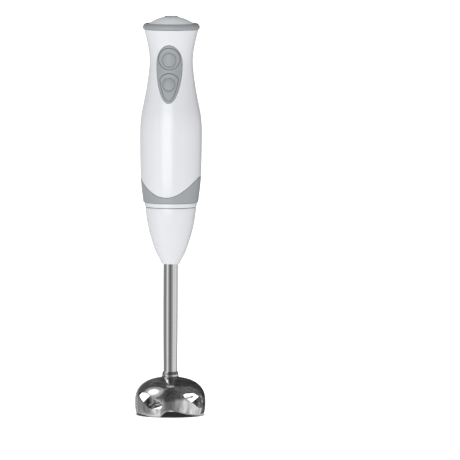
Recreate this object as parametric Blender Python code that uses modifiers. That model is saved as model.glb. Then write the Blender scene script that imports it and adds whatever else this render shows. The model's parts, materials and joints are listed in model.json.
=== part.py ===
"""Hand-held immersion blender: a waisted handle with two buttons, and a twist-off steel blending leg.

Frame: metres, +Z up, the origin at the centre of the bell's rim, the button side towards -Y.
Each piece is one object. The heights are stacked up from the rim, so a longer leg lifts all above it.
"""

import math

import bmesh
import bpy
from mathutils import Matrix, Vector

MM = 0.001

# Fits
SEAT_GAP = 0.15 * MM  # between two turned pieces that sit in each other
JOINT_GAP = 0.3 * MM  # between two pieces that meet face to face
RUN_GAP = 0.3 * MM  # between a turning shaft and the bush round it
SLIDE_GAP = 0.3 * MM  # round a button in its opening

# Bell and blade
BELL_RADIUS = 31.0 * MM
BELL_RIM_RADIUS = 29.2 * MM
BELL_BELLY_HEIGHT = 12.0 * MM
BELL_DOME_HEIGHT = 21.4 * MM
BELL_ROUNDNESS = 2.42  # exponent of the dome's superellipse; 2 is an ellipse
BELL_WALL = 1.0 * MM
BELL_NECK_RADIUS = 7.4 * MM
BELL_NECK_HEIGHT = 0.4 * MM
LEG_CLOCKING = math.radians(11)  # the locked leg stands this far round from the buttons
WINDOW_COUNT = 4
# Outlines of what is cut from the bell, across and up in millimetres, seen square on
WINDOW_CORNERS = ((-14.4, 20.9), (-2.5, 21.0), (14.4, 12.0), (12.5, 7.4), (1.5, 7.6), (-13.4, 17.4))
WINDOW_ROUNDING = 2.2 * MM
SCALLOP_RISE = ((-13.2, -1.5), (-10.2, 2.3), (-7.3, 5.2), (-2.6, 6.6), (2.0, 5.9))
SCALLOP_FALL = ((8.4, 3.9), (13.8, 2.7), (22.2, 1.2), (29.0, -0.6))
SCALLOP_EDGE = SCALLOP_RISE + SCALLOP_FALL
LOBE_RELIEF_EDGE = ((-17.0, -1.0), (-13.0, 1.9), (-6.0, 2.2), (2.0, 1.8), (9.0, 1.0), (17.0, -0.6))
LOBE_RELIEF_TURN = math.radians(-66)  # from the front scallop round to the relieved lobe
BLADE_RADIUS = 20.0 * MM
BLADE_WIDTH = 9.0 * MM
BLADE_THICKNESS = 1.2 * MM
BLADE_HEIGHT = 12.0 * MM
BLADE_TILT = 0.27  # rise of a wing over its run
BLADE_CLAMP_RADIUS = 5.0 * MM
BLADE_HUB_HEIGHT = 7.0 * MM
NUT_RADIUS = 4.6 * MM
NUT_HEIGHT = 3.0 * MM

# Blending leg
SHAFT_RADIUS = 2.5 * MM
SHAFT_STUB = 0.6 * MM  # of shaft showing below the nut
TUBE_FOOT_RADIUS = 5.95 * MM
TUBE_TOP_RADIUS = 6.3 * MM
TUBE_WALL = 0.6 * MM
TUBE_SHOWN = 94.6 * MM
TUBE_SOCKET = 8.0 * MM  # how far the tube goes up into the cone
TUBE_TAIL = 6.0 * MM  # how far it goes down into the bell
FERRULE_HEIGHT = 4.4 * MM
FERRULE_WALL_TOP = 0.45 * MM
FERRULE_WALL_FOOT = 1.15 * MM
FOOT_BUSH_HEIGHT = 11.0 * MM
FOOT_BUSH_FLANGE = (7.6 * MM, 1.7 * MM)
BELL_SEAL = (6.6 * MM, 2.6 * MM)
CONE_HEIGHT = 49.9 * MM
CONE_FOOT_RADIUS = 8.0 * MM
CONE_TOP_RADIUS = 22.4 * MM
# Outlines given as shares: how far up, and how far across from the lower radius to the upper
CONE_SHAPE = ((0, 0), (0.062, 0.076), (0.2, 0.333), (0.415, 0.597), (0.627, 0.799), (0.84, 0.931), (1, 1))
CONE_WALL = 2.0 * MM
CONE_CEILING = 2.4 * MM
SPIGOT_RADIUS = 18.0 * MM
SPIGOT_WALL = 2.2 * MM
SPIGOT_HEIGHT = 13.7 * MM
SEAL_RING_RADIUS = 0.45 * MM
SEAL_GROOVE = (0.8 * MM, 1.4 * MM)
SEAL_GROOVE_HEIGHT = 2.5 * MM  # above the cone's shoulder
BEARING_PLATE_HEIGHT = 2.4 * MM
LEG_BUSH_RADIUS = 4.3 * MM
LEG_BUSH_HEIGHT = 8.0 * MM
WASHER = (4.8 * MM, 0.8 * MM)

# Twist lock between leg and handle
UNLOCK_ANGLE = math.radians(90)
UNLOCK_DROP = 18.0 * MM
LUG_COUNT = 3
LUG_ANGLE = math.radians(15)
LUG_HEIGHT = 3.0 * MM
LUG_DEPTH = 2.2 * MM
LUG_BELOW_TOP = 1.5 * MM  # from the lug's top to the spigot's
LUG_GAP = 0.5 * MM
RING_GAP = 0.4 * MM  # between the lock ring and the cone, and round the spigot
RING_SHOWN = 3.9 * MM
RING_RADIUS = 23.1 * MM
RING_TAPER = 0.5 * MM  # narrower at its foot
RING_HEIGHT = 18.3 * MM
RING_BACK_WALL = 1.1 * MM  # outside the lugs' slots
ROOF_THICKNESS = 2.5 * MM
DOG_RADIUS = 6.5 * MM
DOG_HEIGHT = 13.0 * MM
DOG_SOCKET = 9.5 * MM
HEX_RADIUS = 3.6 * MM
HEX_GAP = 0.5 * MM
HEX_HEIGHT = 10.7 * MM

# Handle
FOOT_RADIUS = 24.1 * MM
GRIP_RADIUS = 27.2 * MM
NECK_RADIUS = 19.0 * MM
CROWN_RADIUS = 23.9 * MM
GRIP_ABOVE_FOOT = 54.0 * MM
NECK_ABOVE_GRIP = 68.0 * MM
CROWN_ABOVE_NECK = 29.7 * MM
FOOT_SHAPE = ((0, 0), (0.33, 0.68), (0.67, 0.9))
GRIP_SHAPE = ((0, 0), (0.215, 0.024), (0.32, 0.116), (0.425, 0.27), (0.53, 0.463), (0.63, 0.61), (0.79, 0.82))
NECK_SHAPE = ((0, 0), (0.34, 0.12), (0.7, 0.53), (1, 1))
HOUSING_WALL = 2.2 * MM
SEAM_GAP = 0.3 * MM
COLLAR_WALL = 2.0 * MM
COLLAR_FRONT_HEIGHT = 4.8 * MM
COLLAR_SIDE_RISE = 18.9 * MM
COLLAR_CLOCKING = math.radians(-5)  # the collar's lowest point stands this far round from the buttons
CAP_RIM_RADIUS = 25.0 * MM
CAP_RIM_HEIGHT = 4.9 * MM
CAP_DOME_RADIUS = 20.4 * MM
CAP_DOME_HEIGHT = 7.0 * MM
CAP_DOME_SINK = 0.8 * MM  # the dome starts this far below the rim's crest
CAP_WALL = 2.0 * MM
CAP_SKIRT_DEPTH = 6.0 * MM
GLAND_BORE = 3.5 * MM
GLAND_WALL = 1.5 * MM
GLAND_LIP = (1.2 * MM, 0.5 * MM)

# Control panel, on the front of the neck
PANEL_HALF_WIDTH = 11.4 * MM
PANEL_WIDEST_ABOVE_NECK = 0.0 * MM
PANEL_UPPER_LENGTH = 16.6 * MM
PANEL_LOWER_LENGTH = 34.4 * MM
PANEL_PROUD = 0.4 * MM
PANEL_THICKNESS = 2.8 * MM
BUTTON_RADIUS = 9.4 * MM
UPPER_BUTTON_ABOVE_NECK = 4.6 * MM
LOWER_BUTTON_TOP_ABOVE_NECK = -8.1 * MM
LOWER_BUTTON_MARGIN = 2.5 * MM
BUTTON_PROUD = 0.9 * MM
BUTTON_THICKNESS = 3.0 * MM
BUTTON_TRAVEL = 1.3 * MM
STEM_RADIUS = 1.5 * MM
PLUNGER_RADIUS = 1.2 * MM
PLUNGER_SHOWN = 1.8 * MM
SWITCH_SIZE = (12.6 * MM, 5.5 * MM, 6.0 * MM)
SWITCH_FACE_Y = -11.5 * MM
BOARD_WIDTH = 13.0 * MM
BOARD_THICKNESS = 1.6 * MM
BOARD_SCREW_INSET = 2.6 * MM
BOSS_RADIUS = 2.2 * MM
SCREW_RADIUS = 0.9 * MM
SCREW_HEAD = (2.0 * MM, 1.5 * MM)
SPRING_RADIUS = 2.5 * MM
SPRING_WIRE = 0.3 * MM
SPRING_TURNS = 3.5

# Cord clamp, below the cap
CLAMP_BELOW_CROWN = 11.7 * MM
CLAMP_BAR = (26.0 * MM, 2.2 * MM, 5.0 * MM)
CLAMP_BASE_DEPTH = 5.0 * MM
CLAMPED_CORD_RADIUS = 3.2 * MM
CLAMPED_CORD_Y = 3.9 * MM
CLAMP_SCREW_X = 10.0 * MM

# Motor
MOTOR_AIR_GAP = 2.2 * MM  # between the motor and the housing
STACK_HEIGHT = 22.0 * MM
STACK_ABOVE_ROOF = 19.0 * MM
STATOR_BORE = 12.3 * MM
AIR_GAP = 0.8 * MM
COIL_X = 11.0 * MM
COIL_Y = 13.5 * MM
COIL_RADIUS = 2.2 * MM
COIL_OVERHANG = 2.5 * MM
ARMATURE_SLOTS = 10
COMMUTATOR_RADIUS = 7.5 * MM
COMMUTATOR_HEIGHT = 10.0 * MM
COMMUTATOR_BARS = 12
WINDING_RADIUS = 9.5 * MM
WINDING_HEIGHT = 4.4 * MM
FAN_RADIUS = 15.5 * MM
FAN_HEIGHT = 5.0 * MM
FAN_VANES = 9
BRACKET_THICKNESS = 4.0 * MM
BRACKET_HUB_RADIUS = 6.2 * MM
MOTOR_BUSH_RADIUS = 4.2 * MM
MOUNT_RING_HEIGHT = 4.0 * MM
MOTOR_SCREW_RADIUS = 1.5 * MM
MOTOR_SCREW_Y = 18.5 * MM
BRUSH_SIZE = (7.5 * MM, 5.0 * MM, 4.5 * MM)
BRUSH_BOX = (11.0 * MM, 7.4 * MM, 7.0 * MM)
BRUSH_BOX_INNER_X = 8.8 * MM
LEAD_RADIUS = 0.9 * MM

# Facets round a full turn
FINE = 44
MEDIUM = 28
COARSE = 18

CUT_REACH = 1.5 * GRIP_RADIUS  # how far a cutter goes past what it cuts
PANEL_CUT_END = -4 * MM  # and where a cut through the front wall ends, short of the axis

# Heights above the rim, stacked up
BELL_TOP = BELL_BELLY_HEIGHT + BELL_DOME_HEIGHT + BELL_NECK_HEIGHT
FERRULE_FOOT = BELL_TOP + JOINT_GAP
TUBE_FOOT = BELL_TOP - TUBE_TAIL
CONE_FOOT = FERRULE_FOOT + FERRULE_HEIGHT + TUBE_SHOWN
TUBE_TOP = CONE_FOOT + TUBE_SOCKET
CONE_TOP = CONE_FOOT + CONE_HEIGHT
SPIGOT_TOP = CONE_TOP + SPIGOT_HEIGHT
RING_FOOT = CONE_TOP + RING_GAP
RING_STEP = RING_FOOT + RING_SHOWN
RING_TOP = RING_FOOT + RING_HEIGHT
BODY_FOOT = RING_STEP + JOINT_GAP
GRIP_HEIGHT = BODY_FOOT + GRIP_ABOVE_FOOT
NECK_HEIGHT = GRIP_HEIGHT + NECK_ABOVE_GRIP
CROWN_HEIGHT = NECK_HEIGHT + CROWN_ABOVE_NECK
CAP_FOOT = CROWN_HEIGHT + JOINT_GAP
CAP_CREST = CAP_FOOT + CAP_RIM_HEIGHT
DOME_FOOT = CAP_CREST - CAP_DOME_SINK
DOME_TOP = DOME_FOOT + CAP_DOME_HEIGHT
PANEL_HEIGHT = NECK_HEIGHT + PANEL_WIDEST_ABOVE_NECK
PLATE_FOOT = CONE_TOP - CONE_CEILING + 0.7 * MM
PLATE_TOP = PLATE_FOOT + BEARING_PLATE_HEIGHT
WASHER_FOOT = PLATE_TOP + 2 * JOINT_GAP
HEX_FOOT = WASHER_FOOT + WASHER[1] + JOINT_GAP
STACK_FOOT = RING_TOP + STACK_ABOVE_ROOF
STACK_TOP = STACK_FOOT + STACK_HEIGHT
WASHER_RADIUS, WASHER_HEIGHT = WASHER


def smooth_line(points, per_span):
    """The points, joined by a Catmull-Rom curve with per_span steps between each two."""
    line = [Vector(p) for p in points]
    padded = [2 * line[0] - line[1]] + line + [2 * line[-1] - line[-2]]
    made = []
    for before, start, end, after in zip(padded, padded[1:], padded[2:], padded[3:]):
        for step in range(per_span):
            t = step / per_span
            made.append(
                0.5
                * (
                    2 * start
                    + (end - before) * t
                    + (2 * before - 5 * start + 4 * end - after) * t**2
                    + (3 * start - before - 3 * end + after) * t**3
                )
            )
    return made + [line[-1]]


def between(start, end, shape):
    """The points of a shape given in shares, from (radius, height) start towards end."""
    return [
        (start[0] + (end[0] - start[0]) * across, start[1] + (end[1] - start[1]) * up)
        for up, across in shape
    ]


def radius_at(line, height):
    """The radius of a line of (radius, height) points, listed upwards, at that height."""
    for (low_r, low_z), (high_r, high_z) in zip(line, line[1:]):
        if height <= high_z:
            break
    share = min(max((height - low_z) / (high_z - low_z), 0), 1)
    return low_r + (high_r - low_r) * share


def offset(line, by):
    return [(r + by, z) for r, z in line]


def stretch(line, low, high, steps):
    """The line again between two heights, with evenly spaced points."""
    heights = [low + (high - low) * i / steps for i in range(steps + 1)]
    return [(radius_at(line, z), z) for z in heights]


def circle(radius, count, centre=(0, 0)):
    turns = [2 * math.pi * i / count for i in range(count)]
    return [(centre[0] + radius * math.cos(a), centre[1] + radius * math.sin(a)) for a in turns]


def rectangle(width, height, centre=(0, 0)):
    x, y = width / 2, height / 2
    return [(centre[0] + i * x, centre[1] + j * y) for i, j in ((-1, -1), (1, -1), (1, 1), (-1, 1))]


def rounded(corners, radius, steps=4):
    """A closed outline with its corners cut to curves that start radius away, or half a short side."""
    made = []
    for before, corner, after in zip(corners[-1:] + corners[:-1], corners, corners[1:] + corners[:1]):
        back, on = before - corner, after - corner
        start = corner + back.normalized() * min(radius, 0.48 * back.length)
        end = corner + on.normalized() * min(radius, 0.48 * on.length)
        for step in range(steps + 1):
            t = step / steps
            made.append(start * (1 - t) ** 2 + corner * 2 * t * (1 - t) + end * t**2)
    return made


def handle_line():
    """The handle's outer side as (radius, height) points, from its foot up to its crown."""
    foot = (FOOT_RADIUS, BODY_FOOT)
    grip = (GRIP_RADIUS, GRIP_HEIGHT)
    neck = (NECK_RADIUS, NECK_HEIGHT)
    crown = (CROWN_RADIUS, CROWN_HEIGHT)
    keys = between(foot, grip, FOOT_SHAPE)
    keys += between(grip, neck, GRIP_SHAPE)
    keys += between(neck, crown, NECK_SHAPE)
    return [tuple(p) for p in smooth_line(keys, 6)]


HANDLE = handle_line()
INNER = offset(HANDLE, -HOUSING_WALL)
STATOR_RADIUS = min(radius_at(INNER, STACK_FOOT), radius_at(INNER, STACK_TOP)) - MOTOR_AIR_GAP


def new_material(name, colour, roughness, metallic=0.0):
    made = bpy.data.materials.new(name)
    made.use_nodes = True
    shader = made.node_tree.nodes["Principled BSDF"]
    shader.inputs["Base Color"].default_value = (*colour, 1)
    shader.inputs["Roughness"].default_value = roughness
    shader.inputs["Metallic"].default_value = metallic
    return made


def place(name, mesh, material=None, location=(0, 0, 0), turn=(0, 0, 0)):
    """A new object for the mesh: a piece with its material, or a cutter if it has none."""
    made = bpy.data.objects.new(name, mesh)
    made.location = location
    made.rotation_euler = turn
    if material is None:
        cutters.objects.link(made)
        made.hide_render = True
        made.display_type = "WIRE"
    else:
        pieces.objects.link(made)
        made.data.materials.append(materials[material])
    return made


def smooth(mesh):
    mesh.shade_smooth()
    mesh.set_sharp_from_angle(angle=math.radians(35))
    return mesh


def from_bmesh(name, bm):
    bmesh.ops.recalc_face_normals(bm, faces=bm.faces)
    mesh = bpy.data.meshes.new(name)
    bm.to_mesh(mesh)
    bm.free()
    return smooth(mesh)


def box(name, size, centre, material=None, turn=(0, 0, 0)):
    bm = bmesh.new()
    bmesh.ops.create_cube(bm, size=1)
    bmesh.ops.scale(bm, vec=size, verts=bm.verts)
    return place(name, from_bmesh(name, bm), material, centre, turn)


def rod(name, radius, start, end, material=None, facets=COARSE, end_radius=None):
    """A round bar from point to point, tapered if end_radius is given."""
    start, end = Vector(start), Vector(end)
    along = end - start
    bm = bmesh.new()
    bmesh.ops.create_cone(
        bm,
        cap_ends=True,
        segments=facets,
        radius1=radius,
        radius2=end_radius or radius,
        depth=along.length,
    )
    made = place(name, from_bmesh(name, bm), material, (start + end) / 2)
    made.rotation_euler = along.to_track_quat("Z", "Y").to_euler()
    return made


def turned(name, loop, material=None, facets=FINE, angle=2 * math.pi, start=0.0):
    """A closed loop of (radius, height) points, turned about Z with a Screw modifier."""
    area = sum(a[0] * b[1] - b[0] * a[1] for a, b in zip(loop, loop[1:] + loop[:1]))
    ordered = loop[::-1] if area > 0 else loop
    mesh = bpy.data.meshes.new(name)
    edges = [(i, (i + 1) % len(ordered)) for i in range(len(ordered))]
    mesh.from_pydata([(r, 0, z) for r, z in ordered], edges, [])
    made = place(name, mesh, material, turn=(0, 0, start))
    screw = made.modifiers.new("turn", "SCREW")
    screw.angle = angle
    screw.steps = screw.render_steps = facets
    screw.use_merge_vertices = True
    screw.merge_threshold = 0.00001
    screw.use_smooth_shade = True
    return made


def ring(name, inner, outer, foot, top, material=None, facets=MEDIUM):
    return turned(name, [(inner, foot), (outer, foot), (outer, top), (inner, top)], material, facets)


def plate(name, outlines, thickness, material=None, location=(0, 0, 0), turn=(0, 0, 0)):
    """A flat plate from closed outlines; one inside another is a hole. It lies in XY, half each side."""
    curve = bpy.data.curves.new(name, "CURVE")
    curve.dimensions = "2D"
    curve.fill_mode = "BOTH"
    curve.extrude = thickness / 2
    for outline in outlines:
        spline = curve.splines.new("POLY")
        spline.points.add(len(outline) - 1)
        for point, (x, y) in zip(spline.points, outline):
            point.co = (x, y, 0, 1)
        spline.use_cyclic_u = True
    guide = bpy.data.objects.new(name, curve)
    bpy.context.scene.collection.objects.link(guide)
    bpy.context.view_layer.update()
    mesh = bpy.data.meshes.new_from_object(guide.evaluated_get(bpy.context.evaluated_depsgraph_get()))
    bpy.data.objects.remove(guide)
    bpy.data.curves.remove(curve)
    bm = bmesh.new()
    bm.from_mesh(mesh)
    bpy.data.meshes.remove(mesh)
    bmesh.ops.remove_doubles(bm, verts=bm.verts, dist=0.000001)
    return place(name, from_bmesh(name, bm), material, location, turn)


def front_plate(name, outlines, near_y, far_y, material=None, turn=0.0):
    """A plate whose outlines are (x, z), cut along Y between near_y and far_y, then turned about Z."""
    middle = Matrix.Rotation(turn, 3, "Z") @ Vector((0, (near_y + far_y) / 2, 0))
    return plate(name, outlines, abs(far_y - near_y), material, middle, (math.pi / 2, 0, turn))


def wire(name, points, radius, material, closed=False):
    """A round wire through the points."""
    curve = bpy.data.curves.new(name, "CURVE")
    curve.dimensions = "3D"
    curve.bevel_depth = radius
    curve.bevel_resolution = 1
    curve.use_fill_caps = True
    spline = curve.splines.new("POLY")
    spline.points.add(len(points) - 1)
    for point, co in zip(spline.points, points):
        point.co = (*co, 1)
    spline.use_cyclic_u = closed
    return place(name, curve, material)


def boolean(piece, helper, operation):
    modifier = piece.modifiers.new(helper.name, "BOOLEAN")
    modifier.operation = operation
    modifier.object = helper
    return piece


def cut(piece, *helpers):
    for helper in helpers:
        boolean(piece, helper, "DIFFERENCE")
    return piece


def join(piece, *helpers):
    for helper in helpers:
        boolean(piece, helper, "UNION")
    return piece


def helix_bar(name, inner, outer, height, top, start, angle):
    """A bar of square section that winds down round Z as the leg does when it is unlocked."""
    bm = bmesh.new()
    corners = [(inner, top), (outer, top), (outer, top - height), (inner, top - height)]
    turn = Matrix.Rotation(start, 3, "Z")
    face = bm.faces.new([bm.verts.new(turn @ Vector((r, 0, z))) for r, z in corners])
    steps = max(2, round(abs(angle) / math.radians(7.5)))
    drop = -UNLOCK_DROP * angle / UNLOCK_ANGLE / steps
    bmesh.ops.spin(
        bm, geom=[face], cent=(0, 0, 0), axis=(0, 0, -1), dvec=(0, 0, drop), angle=angle, steps=steps
    )
    return place(name, from_bmesh(name, bm))


def bell_side(inset):
    """The bell's side as (radius, height) points from neck to rim, set in by inset."""
    radius = BELL_RADIUS - inset
    rim = BELL_RIM_RADIUS - inset
    dome = BELL_DOME_HEIGHT - inset
    power = 2 / BELL_ROUNDNESS
    side = []
    for step in range(10):
        angle = math.radians(75) * (1 - step / 9)
        side.append((radius * math.cos(angle) ** power, BELL_BELLY_HEIGHT + dome * math.sin(angle) ** power))
    for step in range(1, 5):
        share = step / 4
        side.append((radius - (radius - rim) * share**3, BELL_BELLY_HEIGHT * (1 - share)))
    return side


def make_bell():
    neck_bore = TUBE_FOOT_RADIUS + SEAT_GAP
    outer = bell_side(0)
    inner = bell_side(BELL_WALL)[::-1]
    neck = [
        (BELL_NECK_RADIUS, BELL_TOP),
        (BELL_NECK_RADIUS, BELL_TOP - 0.6 * BELL_NECK_HEIGHT),
    ]
    underside = [(neck_bore, inner[-1][1] + 0.2 * MM), (neck_bore, BELL_TOP)]
    bell = turned("bell", neck + outer + inner + underside, "steel")
    corners = [Vector(c) * MM for c in WINDOW_CORNERS]
    for i in range(WINDOW_COUNT):
        angle = LEG_CLOCKING + 2 * math.pi * (i + 0.5) / WINDOW_COUNT
        outline = rounded(corners, WINDOW_ROUNDING)
        span = (-BELL_RADIUS * 0.55, -BELL_RADIUS * 1.1)
        cut(bell, front_plate(f"cut_window_{i}", [outline], *span, turn=angle))
    cut_rim(bell, "front_scallop", SCALLOP_EDGE, 0)
    cut_rim(bell, "rear_scallop", SCALLOP_EDGE, math.pi)
    cut_rim(bell, "lobe_relief", LOBE_RELIEF_EDGE, LOBE_RELIEF_TURN)


def cut_rim(bell, name, points, turn):
    """Cuts away what is below a smooth edge on one side of the rim."""
    edge = smooth_line([Vector(p) * MM for p in points], 3)
    below = [(edge[-1][0], -8 * MM), (edge[0][0], -8 * MM)]
    cut(bell, front_plate(f"cut_{name}", [edge + below], 0, -BELL_RADIUS * 1.1, turn=LEG_CLOCKING + turn))


def make_blade():
    """Two swept wings on a flat middle, one bent up and the other down, between a hub and a nut."""
    half = BLADE_WIDTH / 2
    tip = BLADE_RADIUS
    swept_tip = [(0.62 * tip, -half), (tip, -0.1 * half), (0.93 * tip, 0.5 * half)]
    edge = [tuple(p) for p in smooth_line(swept_tip, 3)]
    wing = [(BLADE_CLAMP_RADIUS, -half)] + edge + [(BLADE_CLAMP_RADIUS, half)]
    other_wing = [(-x, -y) for x, y in wing]
    hole = circle(SHAFT_RADIUS + SEAT_GAP, COARSE)
    blade = plate("blade", [wing + other_wing, hole], BLADE_THICKNESS, "steel", (0, 0, BLADE_HEIGHT))
    bend(blade, BLADE_CLAMP_RADIUS, BLADE_TILT)
    hub_foot = BLADE_HEIGHT + BLADE_THICKNESS / 2 + JOINT_GAP
    hub_radius = BLADE_CLAMP_RADIUS - JOINT_GAP
    ring("blade_hub", SHAFT_RADIUS + SEAT_GAP, hub_radius, hub_foot, hub_foot + BLADE_HUB_HEIGHT, "steel")
    nut_middle = BLADE_HEIGHT - BLADE_THICKNESS / 2 - JOINT_GAP - NUT_HEIGHT / 2
    plate("blade_nut", [circle(NUT_RADIUS, 6), hole], NUT_HEIGHT, "steel", (0, 0, nut_middle))


def bend(piece, start, slope):
    """Bends a flat piece up beyond x = start, and down beyond x = -start."""
    bm = bmesh.new()
    bm.from_mesh(piece.data)
    for x in (-start, start):
        everything = bm.verts[:] + bm.edges[:] + bm.faces[:]
        bmesh.ops.bisect_plane(bm, geom=everything, dist=0.000001, plane_co=(x, 0, 0), plane_no=(1, 0, 0))
    for vertex in bm.verts:
        reach = abs(vertex.co.x) - start
        if reach > 0:
            vertex.co.z += math.copysign(reach * slope, vertex.co.x)
    bm.to_mesh(piece.data)
    bm.free()


def make_drive_shaft():
    foot = BLADE_HEIGHT - BLADE_THICKNESS / 2 - JOINT_GAP - NUT_HEIGHT - SHAFT_STUB
    grip = 0.6 * HEX_HEIGHT
    rod("drive_shaft", SHAFT_RADIUS, (0, 0, foot), (0, 0, HEX_FOOT + grip - JOINT_GAP), "bright_steel")
    middle = (0, 0, HEX_FOOT + HEX_HEIGHT / 2)
    dog = plate("shaft_dog", [circle(HEX_RADIUS, 6)], HEX_HEIGHT, "acetal", middle)
    hole = rod("cut_shaft_dog", SHAFT_RADIUS + SEAT_GAP, (0, 0, HEX_FOOT - MM), (0, 0, HEX_FOOT + grip))
    cut(dog, hole)
    washer = (SHAFT_RADIUS + RUN_GAP, WASHER_RADIUS, WASHER_FOOT, WASHER_FOOT + WASHER_HEIGHT)
    ring("thrust_washer", *washer, "acetal")


def make_tube():
    tube = [
        (TUBE_FOOT_RADIUS - TUBE_WALL, TUBE_FOOT),
        (TUBE_FOOT_RADIUS, TUBE_FOOT),
        (TUBE_FOOT_RADIUS, FERRULE_FOOT + FERRULE_HEIGHT),
        (TUBE_TOP_RADIUS, FERRULE_FOOT + FERRULE_HEIGHT + 0.45 * TUBE_SHOWN),
        (TUBE_TOP_RADIUS, TUBE_TOP),
        (TUBE_TOP_RADIUS - TUBE_WALL, TUBE_TOP),
        (TUBE_TOP_RADIUS - TUBE_WALL, FERRULE_FOOT + FERRULE_HEIGHT + 0.45 * TUBE_SHOWN),
        (TUBE_FOOT_RADIUS - TUBE_WALL, FERRULE_FOOT + FERRULE_HEIGHT),
    ]
    turned("leg_tube", tube, "steel", MEDIUM)
    bore = TUBE_FOOT_RADIUS + SEAT_GAP
    top = FERRULE_FOOT + FERRULE_HEIGHT - JOINT_GAP
    ferrule = [
        (bore, FERRULE_FOOT),
        (bore + FERRULE_WALL_FOOT, FERRULE_FOOT),
        (bore + FERRULE_WALL_FOOT, FERRULE_FOOT + 0.3 * FERRULE_HEIGHT),
        (bore + FERRULE_WALL_TOP, top),
        (bore, top),
    ]
    turned("neck_ferrule", ferrule, "steel", MEDIUM)
    make_foot_bush()


def make_foot_bush():
    """The shaft's lower bush, pushed up into the tube, and the lip seal below it."""
    bore = SHAFT_RADIUS + RUN_GAP
    outer = TUBE_FOOT_RADIUS - TUBE_WALL - SEAT_GAP
    flange_radius, flange_height = FOOT_BUSH_FLANGE
    flange_top = TUBE_FOOT - JOINT_GAP
    flange_foot = flange_top - flange_height
    loop = [
        (bore, flange_foot),
        (flange_radius, flange_foot),
        (flange_radius, flange_top),
        (outer, flange_top),
        (outer, flange_top + FOOT_BUSH_HEIGHT),
        (bore, flange_top + FOOT_BUSH_HEIGHT),
    ]
    turned("leg_foot_bush", loop, "bronze", MEDIUM)
    seal_radius, seal_height = BELL_SEAL
    seal_top = flange_foot - JOINT_GAP
    ring("bell_seal", bore, seal_radius, seal_top - seal_height, seal_top, "rubber")


def cone_line():
    keys = between((CONE_FOOT_RADIUS, CONE_FOOT), (CONE_TOP_RADIUS, CONE_TOP), CONE_SHAPE)
    return [tuple(p) for p in smooth_line(keys, 2)]


def make_cone():
    """The leg's white shell, with the spigot that goes up into the handle and its three lugs."""
    outer = cone_line()
    socket = TUBE_TOP_RADIUS + SEAT_GAP
    cavity_foot = TUBE_TOP + 2.5 * MM
    cavity_top = CONE_TOP - CONE_CEILING - CONE_WALL
    cavity = stretch(offset(outer, -CONE_WALL), cavity_foot, cavity_top, 5)
    groove_depth, groove_height = SEAL_GROOVE
    groove_foot = CONE_TOP + SEAL_GROOVE_HEIGHT
    spigot_bore = SPIGOT_RADIUS - SPIGOT_WALL
    spigot = [
        (SPIGOT_RADIUS, CONE_TOP),
        (SPIGOT_RADIUS, groove_foot),
        (SPIGOT_RADIUS - groove_depth, groove_foot),
        (SPIGOT_RADIUS - groove_depth, groove_foot + groove_height),
        (SPIGOT_RADIUS, groove_foot + groove_height),
        (SPIGOT_RADIUS, SPIGOT_TOP),
        (spigot_bore, SPIGOT_TOP),
        (spigot_bore, CONE_TOP - CONE_CEILING),
    ]
    inside = cavity[::-1] + [(socket, TUBE_TOP + 0.3 * MM), (socket, CONE_FOOT)]
    cone = turned("leg_cone", outer + spigot + inside, "white", 40)
    lug_top = SPIGOT_TOP - LUG_BELOW_TOP
    for i in range(LUG_COUNT):
        start = 2 * math.pi * i / LUG_COUNT + LUG_ANGLE / 2
        radii = (SPIGOT_RADIUS - MM, SPIGOT_RADIUS + LUG_DEPTH)
        join(cone, helix_bar(f"add_lug_{i}", *radii, LUG_HEIGHT, lug_top, start, LUG_ANGLE))
    groove_middle = groove_foot + groove_height / 2
    seal_centre = SPIGOT_RADIUS - groove_depth + SEAL_RING_RADIUS + SEAT_GAP
    section = circle(SEAL_RING_RADIUS, 6, (seal_centre, groove_middle))
    turned("spigot_o_ring", section, "rubber", MEDIUM)


def make_leg_bearing():
    """The plate inside the spigot, and the bush that it holds."""
    plate_radius = SPIGOT_RADIUS - SPIGOT_WALL - SEAT_GAP
    ring("leg_bearing_plate", LEG_BUSH_RADIUS + SEAT_GAP, plate_radius, PLATE_FOOT, PLATE_TOP, "acetal")
    top = PLATE_TOP + JOINT_GAP
    ring("leg_top_bush", SHAFT_RADIUS + RUN_GAP, LEG_BUSH_RADIUS, top - LEG_BUSH_HEIGHT, top, "bronze")


def make_lock_ring():
    """The socket at the handle's foot. Three slots wind down its bore for the leg's lugs."""
    bore = SPIGOT_RADIUS + RING_GAP
    slot_radius = SPIGOT_RADIUS + LUG_DEPTH + LUG_GAP
    back = slot_radius + RING_BACK_WALL
    roof_hole = DOG_RADIUS + 2 * RUN_GAP
    roof_foot = RING_TOP - ROOF_THICKNESS
    loop = [
        (back, RING_TOP),
        (back, RING_STEP),
        (RING_RADIUS, RING_STEP),
        (RING_RADIUS - RING_TAPER, RING_FOOT),
        (bore, RING_FOOT),
        (bore, roof_foot),
        (roof_hole, roof_foot),
        (roof_hole, RING_TOP),
    ]
    lock_ring = turned("lock_ring", loop, "white")
    margin = math.asin(LUG_GAP / SPIGOT_RADIUS)
    lug_top = SPIGOT_TOP - LUG_BELOW_TOP
    slope = UNLOCK_DROP / UNLOCK_ANGLE
    sweep = (lug_top - RING_FOOT) / slope + LUG_ANGLE
    for i in range(LUG_COUNT):
        start = 2 * math.pi * i / LUG_COUNT + LUG_ANGLE / 2 + margin
        top = lug_top + LUG_GAP + slope * margin
        slot = helix_bar(f"cut_slot_{i}", bore - MM, slot_radius, LUG_HEIGHT + 2 * LUG_GAP, top, start, sweep)
        cut(lock_ring, slot)


def collar_edge(lift):
    """The collar's curved upper edge as seen from the front: a parabola, lowest at the middle."""
    reach = GRIP_RADIUS * 1.15
    edge = []
    for step in range(-9, 10):
        x = reach * step / 9
        edge.append((x, BODY_FOOT + COLLAR_FRONT_HEIGHT + lift + COLLAR_SIDE_RISE * (x / GRIP_RADIUS) ** 2))
    return edge


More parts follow.
